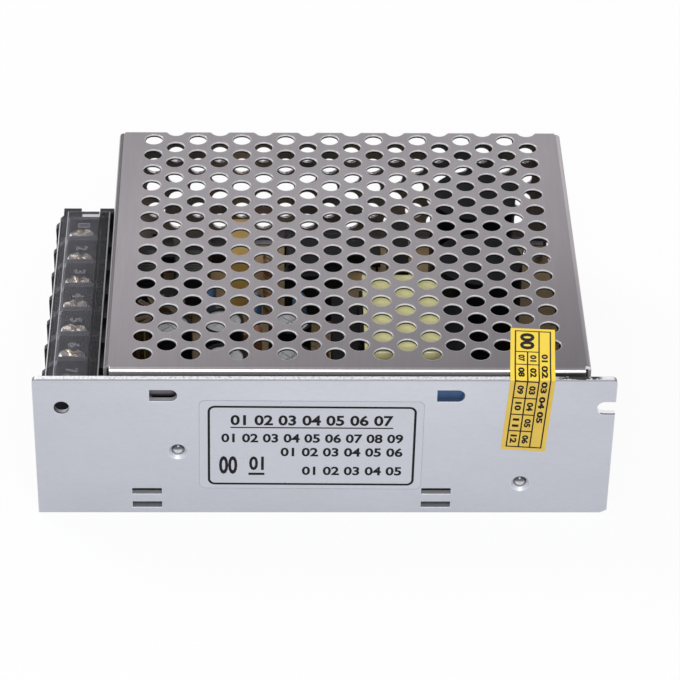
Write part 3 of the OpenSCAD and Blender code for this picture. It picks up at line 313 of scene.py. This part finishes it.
def cover_material():
    """Cold-rolled steel sheet: grain along its depth, painted darker to the front, painted
    highlights on bends and rims.
    """
    n = Nodes("perforated_steel")
    base = srgb(176, 170, 175)
    broad = n.noise(22.0, 4.0, (3.0, 0.7, 1))
    fine = n.noise(1500.0, 3.0, (1, 0.06, 1))
    tone = n.mottle(broad, base, 0.93, 1.06, BROAD_STOPS)
    tone = n.mix(0.45, tone, n.mottle(fine, base, 0.9, 1.08))
    # Painted light: the top's fall-off in tone, from the rear left to the front right
    fall = ((0.0, 0.93), (0.33, 1.07), (0.5, 1.0), (0.64, 0.88), (0.76, 0.7), (0.97, 0.48))
    along = n.reach(n.dot(n.coords, (0.35, -1.0, 0.0)), -65 * MM, 70 * MM)
    painted_falloff = n.ramp(along, [(place, grey(k)) for place, k in fall])
    painted_falloff = n.mix(n.facing(UP, 0.6, 0.9), grey(0.8), painted_falloff)
    tone = n.mix(1.0, tone, painted_falloff, "MULTIPLY")
    normal = n.bevel(0.38)
    # Painted highlight along the rounded edges and vent rims
    tone = n.paint(tone, n.edge(normal), srgb(244, 242, 243), 0.9)
    # Walls of the vents that face the front: painted highlight above, painted shade below
    inside = n.both(n.facing(FRONT, 0.1, 0.4), n.past("Z", 38.8, 38.84),
                    n.past("Y", -45.2, -44.6))
    wall = n.both(inside, n.past("Z", 39.15, 39.27))
    tone = n.paint(tone, inside, srgb(46, 44, 46))
    tone = n.paint(tone, wall, srgb(250, 249, 250))
    # Painted shade on the left bend
    tone = n.paint(tone, n.facing((-0.4, 0.0, 0.917), 0.9, 0.94), srgb(88, 85, 89))
    # Painted highlight: the front bend catches the light in a line that is narrower to the right,
    # over a grey band of painted shade
    front = n.past("Y", -45.4, -45.6)
    band = n.both(front, n.facing((0.0, -0.999, -0.044), 0.86, 0.92))
    tone = n.paint(tone, band, srgb(116, 111, 114))
    narrowed = n.calc("SUBTRACT", n.facing((0.0, -0.899, 0.438), 0.0, 1.0),
                      n.spread(n.past("X", -40, 60), 0.0, 0.085))
    tone = n.paint(tone, n.both(front, n.reach(narrowed, 0.88, 0.93)), srgb(252, 252, 252))
    # Painted shade on the front flange's face, down behind the wall
    flange = n.both(n.facing(FRONT, 0.85, 0.95), n.past("Z", 38.2, 37.6),
                    n.past("Y", -45.8, -46.2))
    tone = n.paint(tone, flange, srgb(104, 101, 105))
    # The grey band a little lighter in painted light, left of the right end and high up
    lit = n.both(band, n.past("X", 47, 42), n.past("Z", 37.95, 38.15))
    tone = n.paint(tone, lit, srgb(126, 122, 125))
    # Painted highlight on the cut end of the right flange, in the corner, grey below
    tip = n.both(n.facing(FRONT, 0.85, 0.95), n.past("X", 57.2, 57.4), n.past("Y", -45.65, -45.6))
    bright = n.mix(n.past("Z", 38.5, 38.9), srgb(150, 149, 152), srgb(250, 250, 251))
    return n.dressed({
        "Base Color": n.paint(tone, tip, bright),
        "Roughness": n.spread(fine, 0.3, 0.42),
        "Normal": n.bump(fine, 0.35, 0.008, normal),
        "Metallic": n.spread(n.most(wall, lit, tip), 0.85, 0.1),
    })


def clear_material():
    """Clear moulded polycarbonate with a faint haze, painted highlights on its edges and painted
    shade on the hinge.
    """
    n = Nodes("clear_polycarbonate")
    lid_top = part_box("terminal_lid")[1].z / MM
    verts = nodes["terminal_lid"].data.vertices
    crown = [v.co for v in verts if v.co.z > (lid_top - 0.01) * MM]
    bend, rear = min(p.x for p in crown) / MM, max(p.y for p in crown) / MM
    skirt = min(v.co.x for v in verts) / MM
    fine = n.noise(120.0)
    normal = n.bevel(0.12)
    tone = n.ramp(fine, [(0.3, (0.84, 0.84, 0.9, 1)), (0.7, (0.92, 0.92, 0.97, 1))])
    # Painted shade on the hinge barrel
    barrel = n.both(n.past("X", -53.6, -53.3), n.past("Z", lid_top - 0.8, lid_top - 0.9))
    tone = n.paint(tone, barrel, srgb(96, 96, 104))
    # Painted highlights: edges of the top, its right rim and rear end, its left bend, the skirt
    top = n.past("Z", lid_top - 0.5, lid_top - 0.3)
    edge = n.both(n.edge(normal), n.facing(UP, 0.2, 0.5), top)
    right = n.both(n.facing((0.7, 0.0, 0.714), 0.88, 0.96), n.past("X", -51.6, -51.4),
                   n.past("Z", 28.2, 28.4))
    end = n.both(n.within("Y", (rear - 2.35, rear - 2.25), (rear - 1.1, rear - 1.2)),
                 n.within("X", (-57.5, -57.3), (-53.1, -53.3)), top)
    left = n.both(n.past("X", bend + 0.16, bend + 0.06),
                  n.past("Z", lid_top - 0.16, lid_top - 0.06))
    left = n.spread(left, 0.0, 0.6)
    low = n.past("X", skirt + 0.3, skirt + 0.18)
    tone = n.paint(tone, n.most(edge, right, end), srgb(240, 240, 243))
    # Painted shade: the hinge's web, whose side would shine as a second line, is dark
    web = n.both(n.within("X", (-53.3, -53.25), (-52.9, -52.95)),
                 n.past("Z", lid_top - 1.1, lid_top - 1.2))
    haze = n.spread(n.past("X", bend, bend + 0.2), 0.0, 0.04)
    clear = n.spread(n.most(edge, right, left, low, end, haze), 0.99, 0.35)
    return n.dressed({
        "Base Color": n.paint(tone, web, srgb(22, 22, 26)),
        "Roughness": n.spread(fine, 0.02, 0.07),
        "Normal": n.bump(fine, 0.2, 0.05, normal),
        "Transmission Weight": n.both(clear, n.spread(web, 1.0, 0.0)),
        "Specular IOR Level": n.spread(web, 0.5, 0.0),
        "IOR": 1.08,
    })


def dome_material():
    """Polished screw ends with a painted reflection: the upper half dark, the lower half bright."""
    n = Nodes("chrome_with_painted_reflection")
    grain = n.noise(1500.0)
    # Painted reflection: dark where the end faces up, bright where it faces down
    below = n.facing((0.0, -0.3, -0.954), -0.45, 0.45)
    tone = n.ramp(below, [(0.0, srgb(58, 58, 62)), (0.5, srgb(104, 104, 108)),
                          (0.8, srgb(226, 226, 230))])
    tone = n.mix(0.2, tone, n.ramp(grain, [(0.3, srgb(70, 70, 74)), (0.7, srgb(170, 170, 174))]))
    return n.dressed({
        "Base Color": tone,
        "Roughness": n.spread(grain, 0.1, 0.2),
        "Normal": n.bump(grain, 0.2, 0.006, n.bevel(0.15)),
        "Metallic": 1.0,
    })


def head_material():
    """Nickel screw heads: blotched tops and a painted highlight on the rounded edges."""
    n = Nodes("nickel_head")
    grain = n.noise(1100.0)
    top = n.ramp(n.noise(420.0), [(0.38, srgb(78, 72, 66)), (0.5, srgb(142, 135, 124)),
                                  (0.62, srgb(228, 220, 206))])
    return n.dressed({
        # Painted highlight on the sides that don't face up
        "Base Color": n.mix(n.facing(UP, 0.7, 0.95), srgb(250, 246, 236), top),
        "Roughness": n.spread(grain, 0.08, 0.2),
        "Normal": n.bump(grain, 0.5, 0.03, n.bevel(0.12)),
        "Metallic": 1.0,
    })


def sticker_material():
    """Yellow paper, with painted shade where it hangs down the wall."""
    n = Nodes("yellow_sticker")
    grain = n.noise(300.0)
    high = n.ramp(grain, [(0.3, srgb(248, 212, 58)), (0.7, srgb(252, 220, 70))])
    low = n.ramp(grain, [(0.3, srgb(212, 178, 66)), (0.7, srgb(222, 188, 78))])
    return n.dressed({
        # Painted shade where the strip faces the front
        "Base Color": n.mix(n.facing(FRONT, 0.5, 0.95), high, low),
        "Roughness": n.spread(grain, 0.36, 0.48),
        "Normal": n.bump(grain, 0.3, 0.01),
    })


def board_material():
    """Paper laminate, tan to brown, with darker fibres and faint copper runs showing through."""
    n = Nodes("paper_laminate")
    base = srgb(212, 182, 138)
    fibre = n.noise(1400.0, 4.0, (0.2, 1, 1))
    tone = n.mottle(n.noise(60.0, 4.0), base, 0.82, 1.12)
    tone = n.mix(0.3, tone, n.mottle(fibre, base, 0.7, 1.2))
    runs = n.node("ShaderNodeTexVoronoi", feature="DISTANCE_TO_EDGE", distance="MANHATTAN")
    n.put(110.0, runs.inputs["Scale"])
    n.put(n.coords, runs.inputs["Vector"])
    lines = n.ramp(runs.outputs["Distance"], [(0.02, grey(0.4)), (0.06, grey(0))])
    tone = n.paint(tone, lines, srgb(190, 176, 140))
    return n.dressed({
        "Base Color": n.paint(tone, n.facing(UP, 0.6, 0.3), srgb(112, 96, 78)),
        "Roughness": n.spread(fibre, 0.35, 0.55),
        "Normal": n.bump(fibre, 0.4, 0.02, n.bevel(0.1)),
    })


def wire_material(name, colour, direction, pitch_mm):
    """Enamelled wire laid in close turns: bands across the given direction."""
    n = Nodes(name)
    # A wave texture repeats every 2 pi / 20 at a scale of 1
    bands = n.wave(direction, 2 * math.pi / (20 * pitch_mm * MM))
    tone = n.ramp(bands, [(0.1, shade(colour, 0.35)), (0.6, colour)])
    return n.dressed({
        "Base Color": n.mix(0.3, tone, n.mottle(n.noise(300.0), colour, 0.6, 1.5)),
        "Roughness": n.spread(n.noise(700.0), 0.2, 0.4),
        "Normal": n.bump(bands, 0.8, pitch_mm * 0.3, n.bevel(0.2)),
        "Coat Weight": 0.1,
        "Specular IOR Level": 0.3,
    })


def resistor_material():
    """Tan lacquer with brown and red rings."""
    n = Nodes("resistor_lacquer")
    body, dark, red = srgb(176, 148, 110), srgb(70, 50, 40), srgb(150, 60, 40)
    rings = n.wave("DIAGONAL", 150.0)
    tone = n.ramp(rings, [(0.0, dark), (0.3, body), (0.7, body), (0.9, red)])
    return n.dressed({
        "Base Color": n.mix(0.3, tone, n.mottle(n.noise(500.0), body, 0.7, 1.2)),
        "Roughness": n.spread(n.noise(600.0), 0.3, 0.5),
        "Normal": n.bump(n.noise(900.0), 0.3, 0.03, n.bevel(0.2)),
    })


def fuse_material():
    """A fuse's dark glass tube with nickel caps at its ends."""
    n = Nodes("fuse_tube")
    lo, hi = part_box("fuse")
    cap = 5.4 * MM
    tube = n.calc("COMPARE", n.axis("X"), (lo.x + hi.x) / 2, (hi.x - lo.x) / 2 - cap)
    grain = n.noise(900.0)
    return n.dressed({
        "Base Color": n.mix(tube, srgb(60, 58, 56), srgb(72, 68, 64)),
        "Roughness": n.spread(grain, 0.12, 0.28),
        "Normal": n.bump(grain, 0.2, 0.01, n.bevel(0.15)),
        "Metallic": n.calc("SUBTRACT", 1.0, tube),
    })


def print_material(name, colour):
    """Printing ink, a little uneven."""
    n = Nodes(name)
    grain = n.noise(2500.0, 2.0)
    return n.dressed({
        "Base Color": n.mottle(grain, colour, 0.8, 1.25),
        "Roughness": n.spread(grain, 0.42, 0.58),
        "Specular IOR Level": 0.2,
    })


BLACK_RESIN = surface("black_resin", srgb(24, 24, 28), 0.42, grain=1400.0, edge_lightening=0.06, specular=0.2)
FERRITE = surface("ferrite", srgb(26, 26, 30), 0.6, grain=1100.0, relief=0.05, edge_lightening=0.05,
                  specular=0.2)
SCREW = surface("screw_steel", srgb(190, 190, 194), 0.24, metal=0.95, vary=0.1, grain=1500.0,
                relief=0.008, edge_lightening=0.3)
WASHER = surface("nickel_screw", srgb(176, 170, 158), 0.16, metal=1.0, vary=0.3, grain=1100.0,
                 relief=0.03, edge_lightening=0.5)
CAN = surface("can_aluminium", srgb(206, 206, 210), 0.3, metal=0.9, vary=0.08, grain=1200.0,
              relief=0.01, edge_lightening=0.3)
SLEEVE = surface("black_sleeve", srgb(20, 21, 27), 0.4, grain=700.0, round_mm=0.25, specular=0.2)
CLAMP = surface("clamp_steel", srgb(176, 176, 180), 0.36, metal=0.9, vary=0.1, grain=1300.0,
                edge_lightening=0.3)
HEAD = head_material()
INK = print_material("black_ink", srgb(12, 12, 17))

LOOKS = {
    "chassis": chassis_material(),
    "cover": cover_material(),
    "cover_screws": SCREW,
    "insulating_film": surface("black_film", srgb(36, 36, 39), 0.34, grain=500.0, relief=0.03),
    "circuit_board": board_material(),
    "board_standoffs": SCREW,
    "board_screws": SCREW,
    "clamp_screws": dome_material(),
    "terminal_block": surface("black_moulding", srgb(30, 30, 37), 0.42, grain=1700.0,
                              relief=0.012, round_mm=0.25, edge_lightening=0.1, specular=0.25),
    "terminal_contacts": surface("contact_brass", srgb(142, 130, 104), 0.34, metal=0.9,
                                 grain=1100.0, edge_lightening=0.2),
    "terminal_lid": clear_material(),
    "trimmer_body": surface("blue_moulding", srgb(48, 96, 168), 0.36, grain=1200.0),
    "trimmer_rotor": surface("white_moulding", srgb(232, 228, 214), 0.4, grain=1200.0),
    "indicator_lamp": surface("green_lens", srgb(104, 176, 84), 0.15, grain=300.0, coat=0.5),
    "fuse": fuse_material(),
    "fuse_clips": surface("dull_tin", srgb(62, 61, 62), 0.45, metal=0.9, grain=1300.0, edge_lightening=0.2),
    "line_choke_core": FERRITE,
    "line_choke_windings": wire_material("choke_wire", srgb(34, 32, 34), "Y", 0.7),
    "line_filter_capacitor": surface("yellow_box", srgb(226, 186, 104), 0.32, round_mm=0.3),
    "safety_capacitors": surface("blue_resin", srgb(70, 110, 152), 0.26, grain=500.0,
                                 relief=0.04, coat=0.3),
    "bridge_rectifier": BLACK_RESIN,
    "bulk_capacitor_1": CAN,
    "bulk_capacitor_2": CAN,
    "bulk_sleeve_1": SLEEVE,
    "bulk_sleeve_2": SLEEVE,
    "output_capacitors": CAN,
    "output_sleeves": SLEEVE,
    "transformer_core": FERRITE,
    "transformer_bobbin": BLACK_RESIN,
    "transformer_winding": wire_material("transformer_wire", srgb(168, 96, 44), "X", 0.6),
    "transformer_tape": surface("yellow_tape", srgb(255, 246, 178), 0.28, vary=0.08, grain=320.0,
                                relief=0.06, round_mm=0.3, coat=0.3),
    "inductor_core": surface("powder_core", srgb(214, 204, 140), 0.5, relief=0.04),
    "inductor_winding": surface("coil_wire", srgb(104, 82, 58), 0.24, grain=700.0, round_mm=0.5,
                                coat=0.4),
    "rectifier_diodes": BLACK_RESIN,
    "rectifier_clamp": CLAMP,
    "rectifier_pad": surface("grey_pad", srgb(150, 152, 156), 0.7, grain=800.0),
    "switch_transistors": BLACK_RESIN,
    "transistor_clamp": CLAMP,
    "transistor_pad": surface("blue_pad", srgb(50, 78, 116), 0.4, vary=0.35, grain=420.0,
                              relief=0.08),
    "control_chip": BLACK_RESIN,
    "driver_transformer": surface("black_tape", srgb(24, 24, 29), 0.34, grain=420.0, relief=0.05,
                                  round_mm=0.3, specular=0.2),
    "resistors": resistor_material(),
    "green_capacitor": surface("green_resin", srgb(28, 78, 82), 0.28, grain=500.0, coat=0.3),
    "brown_capacitor": surface("brown_resin", srgb(186, 120, 92), 0.3, grain=500.0, coat=0.3),
}
POLES = range(1, 8)
for pole in POLES:
    LOOKS[f"clamp_washer_{pole}"] = WASHER
    LOOKS[f"terminal_screw_{pole}"] = HEAD
for name, look in LOOKS.items():
    nodes[name].data.materials.clear()
    nodes[name].data.materials.append(look)


# Thin printed pieces. A flat shape is a list of points and a list of faces.

ARC_STEPS = 6
CURVE_STEPS = 3
# Weight that the strokes of the built-in font gain
LABEL_WEIGHT, STICKER_WEIGHT, LID_WEIGHT = 0.03, 0.045, 0.012


def placed(name, data):
    """A new object in the scene."""
    made = bpy.data.objects.new(name, data)
    bpy.context.scene.collection.objects.link(made)
    return made


def mesh_piece(name, shape, look, body):
    """A visible piece that rides a body."""
    verts, faces = shape
    mesh = bpy.data.meshes.new(name)
    mesh.from_pydata([tuple(v) for v in verts], [], faces)
    mesh.validate()
    mesh.materials.append(look)
    piece = placed(name, mesh)
    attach(piece, body)


def raise_flat(flat, place, low, high):
    """A flat shape as a thin closed solid: place(u, v, lift) gives a point of the part."""
    points, sheet = flat
    count = len(points)
    verts = [place(u, v, high) for u, v in points] + [place(u, v, low) for u, v in points]
    faces = [tuple(f) for f in sheet] + [tuple(i + count for i in reversed(f)) for f in sheet]
    edges = dict.fromkeys((a, b) for f in sheet for a, b in zip(f, [*f[1:], f[0]]))
    faces += [(b, a, a + count, b + count) for a, b in edges if (b, a) not in edges]
    return verts, faces


def round_outline(box, r):
    """The points round a box with rounded corners."""
    x0, y0, x1, y1 = box
    centres = ((x1 - r, y1 - r), (x0 + r, y1 - r), (x0 + r, y0 + r), (x1 - r, y0 + r))
    points = []
    for quarter, (x, y) in enumerate(centres):
        for k in range(ARC_STEPS + 1):
            a = math.radians(90 * quarter + 90 * k / ARC_STEPS)
            points.append((x + r * math.cos(a), y + r * math.sin(a)))
    return points


def inset(box, by):
    x0, y0, x1, y1 = box
    return (x0 + by, y0 + by, x1 - by, y1 - by)


def ring(outer, inner):
    """The strip between two outlines with as many points."""
    count = len(outer)
    faces = [(i, (i + 1) % count, (i + 1) % count + count, i + count) for i in range(count)]
    return [*outer, *inner], faces


def bar(x0, y0, x1, y1):
    return [(x0, y0), (x1, y0), (x0, y1), (x1, y1)], [(0, 1, 3, 2)]


def joined(shapes):
    """Several flat shapes as one."""
    points, faces = [], []
    for more, sheet in shapes:
        faces += [tuple(i + len(points) for i in f) for f in sheet]
        points += more
    return points, faces


def figures(text, height, width, weight):
    """A number's flat shape from the built-in font, centred, as high and wide as given."""
    curve = bpy.data.curves.new("figures", "FONT")
    curve.body = text
    curve.resolution_u = CURVE_STEPS
    curve.offset = weight
    maker = placed("figures", curve)
    bpy.context.view_layer.update()
    depsgraph = bpy.context.evaluated_depsgraph_get()
    mesh = bpy.data.meshes.new_from_object(maker.evaluated_get(depsgraph))
    points = [(v.co.x, v.co.y) for v in mesh.vertices]
    faces = [tuple(p.vertices) if p.normal.z >= 0 else tuple(reversed(p.vertices))
             for p in mesh.polygons]
    bpy.data.objects.remove(maker)
    bpy.data.curves.remove(curve)
    bpy.data.meshes.remove(mesh)
    xs, ys = zip(*points)
    kx, ky = width / (max(xs) - min(xs)), height / (max(ys) - min(ys))
    mx, my = (max(xs) + min(xs)) / 2, (max(ys) + min(ys)) / 2
    return [((x - mx) * kx, (y - my) * ky) for x, y in points], faces


def moved(shape, u, v):
    points, faces = shape
    return [(u + x, v + y) for x, y in points], faces


# Rating label: a film on the front wall with a black frame and rows of plain numbers

LABEL_FILM = surface("label_film", srgb(194, 196, 205), 0.3, metal=0.4, vary=0.03, grain=260.0,
                     relief=0.01, round_mm=0.02, coat=0.1)
# Painted shade along the film's edge
FILM_EDGE_SHADE = print_material("film_edge_shade", srgb(160, 162, 170))
LABEL_MID = (61.65, 19.9)
LABEL_TILT = math.radians(-0.4)
# Boxes from the case's corner: left, bottom, right, top
LABEL_BOX, LABEL_R = (36.55, 7.4, 86.55, 32.6), 1.4
EDGE_W, EDGE_R = 0.11, 1.3
FRAME_BOX, FRAME_R = (38.47, 8.5, 84.87, 31.12), 1.6
FRAME_W, FRAME_INNER_R = 0.54, 1.1
UNDERLINE, MARK_LINE = (43.55, 24.85, 79.75, 25.17), (47.6, 11.35, 51.2, 12.0)
# Numbers in a row, and the row's box
NUMBER_ROWS = ((7, (43.55, 25.6, 79.75, 28.6)), (9, (41.5, 20.7, 82.1, 23.3)),
               (6, (54.75, 16.8, 82.1, 19.35)), (5, (59.6, 11.4, 82.0, 13.9)))
# Single numbers in place of the marks: text, height, width, middle
MARK_NUMBERS = (("00", 5.2, 4.1, 43.05, 14.2), ("01", 4.0, 3.3, 49.4, 14.75))


def on_wall(u, v, lift):
    """A place on the label, which is turned a little about its middle."""
    u, v = u - LABEL_MID[0], v - LABEL_MID[1]
    c, s = math.cos(LABEL_TILT), math.sin(LABEL_TILT)
    return case(LABEL_MID[0] + c * u - s * v, -lift, LABEL_MID[1] + s * u + c * v)


def number_row(count, box):
    x0, z0, x1, z1 = box
    text = " ".join(f"{k:02d}" for k in range(1, count + 1))
    row = figures(text, z1 - z0, x1 - x0, LABEL_WEIGHT)
    return moved(row, (x0 + x1) / 2, (z0 + z1) / 2)


outline = round_outline(LABEL_BOX, LABEL_R)
film = (outline, [tuple(range(len(outline)))])
mesh_piece("rating_label", raise_flat(film, on_wall, 0.005, 0.06), LABEL_FILM, "root")
# A ring of painted shade along the film's edge
rim = ring(outline, round_outline(inset(LABEL_BOX, EDGE_W), EDGE_R))
mesh_piece("label_edge", raise_flat(rim, on_wall, 0.062, 0.07), FILM_EDGE_SHADE, "root")
printing = [ring(round_outline(FRAME_BOX, FRAME_R),
                 round_outline(inset(FRAME_BOX, FRAME_W), FRAME_INNER_R)),
            bar(*UNDERLINE)]
printing += [number_row(*row) for row in NUMBER_ROWS]
printing += [moved(figures(text, height, width, LABEL_WEIGHT), u, v)
             for text, height, width, u, v in MARK_NUMBERS]
printing.append(bar(*MARK_LINE))
mesh_piece("label_printing", raise_flat(joined(printing), on_wall, 0.062, 0.075), INK, "root")


# Inspection sticker: a yellow strip folded over the cover's front edge and down the wall

# Its seat from the cover's top to the wall: y and z from the case's corner
SEAT = [(17.62, 39.6), (12.0, 39.6), (7.0, 39.6), (3.2, 39.6), (3.0, 39.58), (2.83, 39.53),
        (1.4, 38.96), (0.0, 38.42), (-0.02, 38.38), (-0.02, 37.4), (0.0, 33.0), (0.0, 25.0),
        (0.0, 15.0)]
# Distance along the strip of each point of the seat
MARKS = [0.0, *accumulate(math.dist(a, b) for a, b in zip(SEAT, SEAT[1:]))]
# Where it leaves the cover, and where it turns down the wall
LEAVES, FOLD = MARKS[5], MARKS[7]
STRIP_W, STRIP_L = 9.95, FOLD + 19.4
# Slant of its ends, and x of its left edge at some distances along it
SHEAR = 0.072
LEFT = [(0.0, 106.37), (LEAVES, 105.33), (FOLD, 105.27), (STRIP_L + 2, 103.93)]
TINY = 1e-9
# Printed lines: their width, the columns across the strip, the rows along it
LINE = 0.3
COLUMNS = (1.1, 3.83, 6.37, 8.9)
ROWS = 6
START, CELL = 8.6, 4.64
TOP, END = 0.85, START + ROWS * CELL
# Height and length of the figures in a cell, of the head and of the side row with its middle
CELL_SIZE, HEAD_SIZE, SIDE_SIZE, SIDE_MID = (1.45, 2.4), (3.25, 6.0), (1.4, 20.0), 19.3


def on_strip(s, a, lift):
    """s millimetres across the strip from its left edge, a along its seat, lift off the seat."""
    k = max(i for i in range(len(SEAT) - 1) if MARKS[i] <= a + TINY)
    (ya, za), (yb, zb) = SEAT[k], SEAT[k + 1]
    step = MARKS[k + 1] - MARKS[k]
    f = (a - MARKS[k]) / step
    ny, nz = -(za - zb) / step, (ya - yb) / step
    j = max(i for i in range(len(LEFT) - 1) if LEFT[i][0] <= a + TINY)
    (a0, x0), (a1, x1) = LEFT[j], LEFT[j + 1]
    return case(x0 + (x1 - x0) * (a - a0) / (a1 - a0) + s, ya + (yb - ya) * f + ny * lift,
                za + (zb - za) * f + nz * lift)


def laid(shapes):
    """Flat shapes given straight on the strip, sheared with it and cut where it bends."""
    points, faces = joined(shapes)
    cutter = bmesh.new()
    made = [cutter.verts.new((s, t + SHEAR * s, 0)) for s, t in points]
    for f in faces:
        cutter.faces.new([made[i] for i in f])
    for mark in MARKS[1:-1]:
        bmesh.ops.bisect_plane(cutter, geom=[*cutter.verts, *cutter.edges, *cutter.faces],
                               plane_co=(0, mark, 0), plane_no=(0, 1, 0), dist=1e-6)
    cutter.verts.index_update()
    points = [(v.co.x, v.co.y) for v in cutter.verts]
    faces = [tuple(v.index for v in f.verts) for f in cutter.faces]
    cutter.free()
    return points, faces


def strip_bar(s0, t0, s1, t1):
    return [(s1, t0), (s0, t0), (s0, t1), (s1, t1)], [(0, 1, 2, 3)]


def down_strip(text, size, s, t):
    """Figures that read down the strip, with their tops to its right."""
    points, faces = figures(text, *size, STICKER_WEIGHT)
    return [(s + y, t + x) for x, y in points], faces


def between(a, b):
    """The middle between two columns."""
    return (COLUMNS[a] + COLUMNS[b]) / 2


strip = laid([strip_bar(0, 0, STRIP_W, STRIP_L)])
mesh_piece("inspection_sticker", raise_flat(strip, on_strip, 0.01, 0.07), sticker_material(),
           "root")
printing = [strip_bar(c - LINE / 2, START if c == COLUMNS[1] else TOP, c + LINE / 2, END)
            for c in COLUMNS]
printing += [strip_bar(COLUMNS[0] - LINE / 2, t, COLUMNS[3] + LINE / 2, t + LINE)
             for t in (TOP, END - LINE)]
for row in range(ROWS):
    t = START + row * CELL
    printing.append(strip_bar(COLUMNS[0], t - LINE / 2, COLUMNS[2], t + LINE / 2))
for k in range(2 * ROWS):
    printing.append(down_strip(f"{k + 1:02d}", CELL_SIZE,
                               between(1, 2) if k < ROWS else between(0, 1),
                               START + (k % ROWS + 0.5) * CELL))
printing.append(down_strip("00", HEAD_SIZE, between(0, 2), (TOP + START) / 2))
printing.append(down_strip("01 02 03 04 05", SIDE_SIZE, between(2, 3), SIDE_MID))
mesh_piece("sticker_printing", raise_flat(laid(printing), on_strip, 0.08, 0.1), INK, "root")


# Terminal numbers, raised on the lid and read from the right

LID_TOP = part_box("terminal_lid")[1].z / MM
NUMBER_H, NUMBER_W = 2.6, 1.5
# Place of the first number, and the distance between two
NUMBER_X, FIRST_Y, PITCH = 7.7, 72.2, 9.5


def on_lid(u, v, lift):
    return case(u, v, LID_TOP + lift)


def lid_number(pole):
    points, faces = figures(str(pole), NUMBER_H, NUMBER_W, LID_WEIGHT)
    return moved(([(y, -x) for x, y in points], faces), NUMBER_X, FIRST_Y - (pole - 1) * PITCH)


numbers = joined([lid_number(pole) for pole in POLES])
mesh_piece("lid_numbers", raise_flat(numbers, on_lid, -0.02, 0.16), LOOKS["terminal_lid"],
           "terminal_lid")


# Stage: pale floor, soft light, camera at the photograph's angle

FLOOR_HALF = 4
# Share of the floor's own look that the camera sees, for the shadow
SHADOW = 0.08
AIM = (0, 0, 0.02)


def show_white(tree, plain, white, kept, output):
    """Shows white to the camera, mirrors and clear pieces, less a kept share of the plain look."""
    path = tree.nodes.new("ShaderNodeLightPath")
    share = path.outputs["Is Camera Ray"]
    for name in ("Is Glossy Ray", "Is Transmission Ray"):
        most = tree.nodes.new("ShaderNodeMath")
        most.operation = "MAXIMUM"
        tree.links.new(share, most.inputs[0])
        tree.links.new(path.outputs[name], most.inputs[1])
        share = most.outputs[0]
    scaled = tree.nodes.new("ShaderNodeMath")
    scaled.operation = "MULTIPLY"
    scaled.inputs[1].default_value = 1 - kept
    tree.links.new(share, scaled.inputs[0])
    blend = tree.nodes.new("ShaderNodeMixShader")
    for source, socket in zip((scaled, plain, white), blend.inputs):
        tree.links.new(source.outputs[0], socket)
    tree.links.new(blend.outputs[0], tree.nodes[output].inputs["Surface"])


def area_light(name, place, size, power):
    data = bpy.data.lights.new(name, "AREA")
    data.shape = "RECTANGLE"
    data.size, data.size_y = size
    data.energy = power
    lamp = placed(name, data)
    lamp.location = place
    lamp.rotation_euler = (Vector(AIM) - Vector(place)).to_track_quat("-Z", "Y").to_euler()


floor_mesh = bpy.data.meshes.new("floor")
corners = [(x * FLOOR_HALF, y * FLOOR_HALF, 0) for x, y in ((-1, -1), (1, -1), (1, 1), (-1, 1))]
floor_mesh.from_pydata(corners, [], [(0, 1, 2, 3)])
floor = placed("floor", floor_mesh)
floor_look = bpy.data.materials.new("pale_floor")
floor_look.use_nodes = True
tree = floor_look.node_tree
pale = tree.nodes["Principled BSDF"]
pale.inputs["Base Color"].default_value = grey(0.9)
pale.inputs["Roughness"].default_value = 0.9
show_white(tree, pale, tree.nodes.new("ShaderNodeEmission"), SHADOW, "Material Output")
floor_mesh.materials.append(floor_look)

world = bpy.data.worlds.new("studio")
bpy.context.scene.world = world
world.use_nodes = True
tree = world.node_tree
soft = tree.nodes["Background"]
soft.inputs["Color"].default_value = (0.97, 0.98, 1.0, 1)
soft.inputs["Strength"].default_value = 0.55
white = tree.nodes.new("ShaderNodeBackground")
white.inputs["Color"].default_value = grey(1)
white.inputs["Strength"].default_value = 1.0
show_white(tree, soft, white, 0.0, "World Output")

area_light("key", (-0.55, 0.5, 0.75), (0.5, 0.5), 4.0)
area_light("fill", (0.06, -0.95, 0.72), (0.6, 0.45), 5.4)

camera_data = bpy.data.cameras.new("camera")
camera_data.sensor_width = 36.0
camera_data.lens = 160.78
camera_data.clip_start, camera_data.clip_end = 0.01, 20
camera = placed("camera", camera_data)
camera.location = (-0.01267, -0.57594, 0.44815)
camera.rotation_euler = [math.radians(angle) for angle in (52.898, -0.899, -1.03)]
bpy.context.scene.camera = camera
bpy.context.scene.view_settings.view_transform = "Standard"
